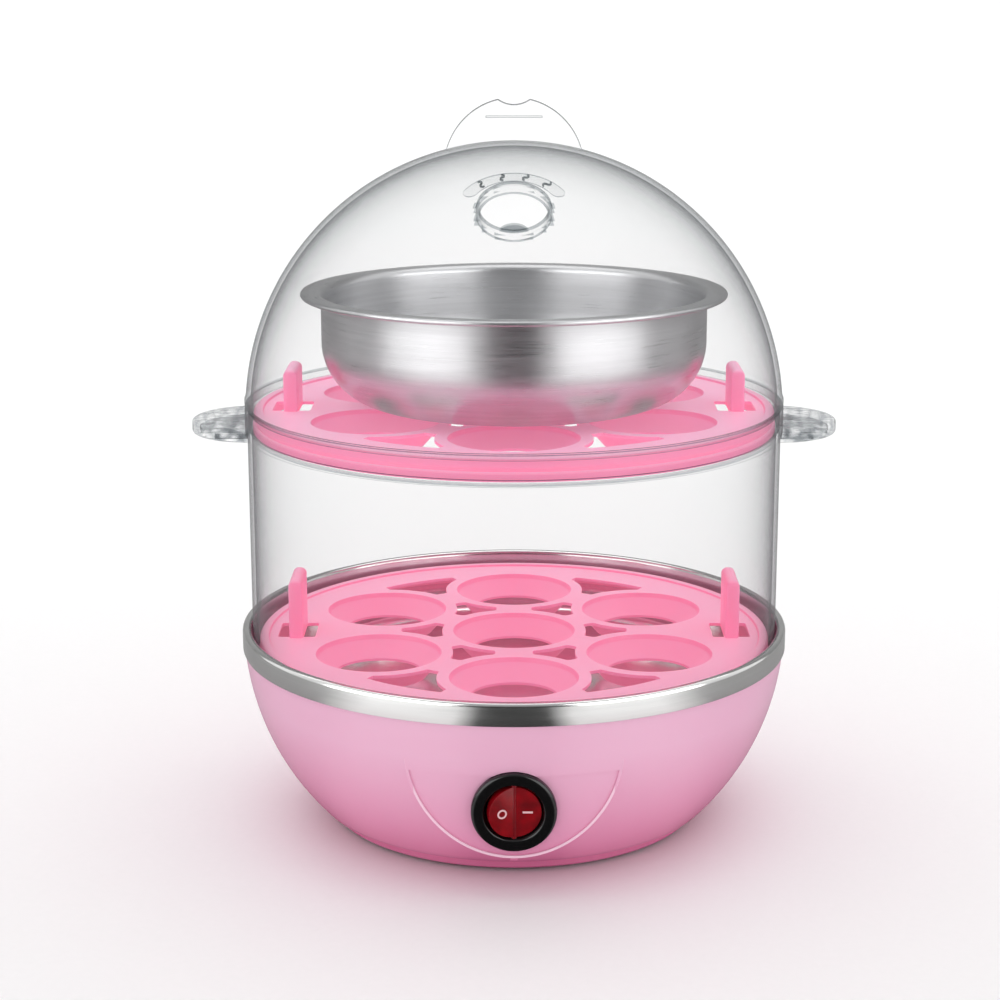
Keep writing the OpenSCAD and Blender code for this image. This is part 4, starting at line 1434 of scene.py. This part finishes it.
forward = add(paper, "ShaderNodeMath", {0: spot[1], 1: -1.0}, operation="MULTIPLY").outputs[0]
bearing = add(paper, "ShaderNodeMath", {0: spot[0], 1: forward}, operation="ARCTAN2").outputs[0]
bearing = add(paper, "ShaderNodeMath", {0: bearing}, operation="ABSOLUTE").outputs[0]
# Painted reflection: only glossy rays see this dark front card and pale side cards painted into the
# paper.
painted_reflection_card = blend_colours(
    paper, remap(paper, bearing, 0, 1, 0.2, 0.34), (0.015, 0.015, 0.015, 1), (0.9, 0.9, 0.9, 1))
painted_reflection_card = blend_colours(paper, remap(paper, bearing, 0, 1, 0.9, 1.25), painted_reflection_card, (0.3, 0.3, 0.3, 1))
paper_shader = add(paper, "ShaderNodeBsdfPrincipled", {
    "Base Color": blend_colours(paper, glossy, pale, painted_reflection_card),
    "Roughness": remap(paper, grain, 0.55, 0.65),
})
coat(floor, output(paper, paper_shader.outputs[0]))
print("floor:", tuple(round(v, 2) for v in floor.dimensions))


# %% [markdown]
# ## Lamps
# Area lamps are soft because they are large. The two side lamps are seen only in gloss,
# so they draw highlights without adding to the even light, and no lamp shows itself.

# %% Lamps
def soft_lamp(name, place, aim, size, watts):
    deselect()
    bpy.ops.object.light_add(type="AREA", location=place)
    lamp = bpy.context.object
    lamp.name = name
    lamp.data.shape = "RECTANGLE"
    lamp.data.size, lamp.data.size_y = size
    lamp.data.energy = watts
    direction = Vector(aim) - Vector(place)
    lamp.rotation_euler = direction.to_track_quat("-Z", "Y").to_euler()
    return lamp


for side in (-1, 1):
    shine = soft_lamp(f"lamp_side_{side}", (side * 0.95, -0.75, 0.4), (0, 0, 0.1), (1.3, 1.2), 12)
    shine.visible_diffuse = False
soft_lamp("lamp_top", (0, 0.1, 1.5), (0, 0, 0.1), (1.6, 1.2), 5.4)
soft_lamp("lamp_paper", (0, 0.7, 1.2), (0, 1.6, 0.3), (2.5, 0.6), 7)
for lamp in [o for o in bpy.data.objects if o.type == "LIGHT"]:
    lamp.visible_camera = False

# %% [markdown]
# ## Studio air
# The air fills the shadows evenly. Only mirror-like surfaces see its darker side, in
# front, which stands for the dim room behind the camera.

# %% Studio air
air = bpy.data.worlds.new("studio_air")
bpy.context.scene.world = air
air.use_nodes = True
air.node_tree.nodes.clear()
towards = add(air, "ShaderNodeSeparateXYZ", {
    0: add(air, "ShaderNodeTexCoord").outputs["Generated"]}).outputs
front = remap(air, towards[1], 1.0, 0.0, -0.97, -0.8)
behind = remap(air, towards[1], 0.0, 1.0, -0.4, 0.3)
sides = blend_colours(air, behind, (0.42, 0.42, 0.43, 1), (1, 1, 1, 1))
mirrored = blend_colours(air, front, sides, (0.03, 0.03, 0.03, 1))
path = add(air, "ShaderNodeLightPath").outputs
fill = blend_colours(air, path["Is Camera Ray"], (0.85, 0.85, 0.85, 1), (1, 1, 1, 1))
colour = blend_colours(air, path["Is Glossy Ray"], fill, mirrored)
back = add(air, "ShaderNodeBackground", {"Color": colour})
add(air, "ShaderNodeOutputWorld", {"Surface": back.outputs[0]})
bpy.context.scene.view_settings.view_transform = "Standard"
print("studio air:", air.name)

# %% [markdown]
# ## Camera
# A long lens, a little above the lid's base and looking down by about 13 degrees, shows
# the trays and the bowl through the clear walls without wide-angle stretch.

# %% Camera
bpy.ops.object.camera_add(location=(0, -0.704, 0.273))
camera = bpy.context.object
camera.rotation_euler = (math.radians(90 - 13.41), 0, 0)
camera.data.lens = 79.0
camera.data.sensor_width = 36.0
camera.data.shift_x = -0.014
camera.data.clip_start = 0.01
bpy.context.scene.camera = camera
print("camera:", [round(v, 3) for v in camera.location])
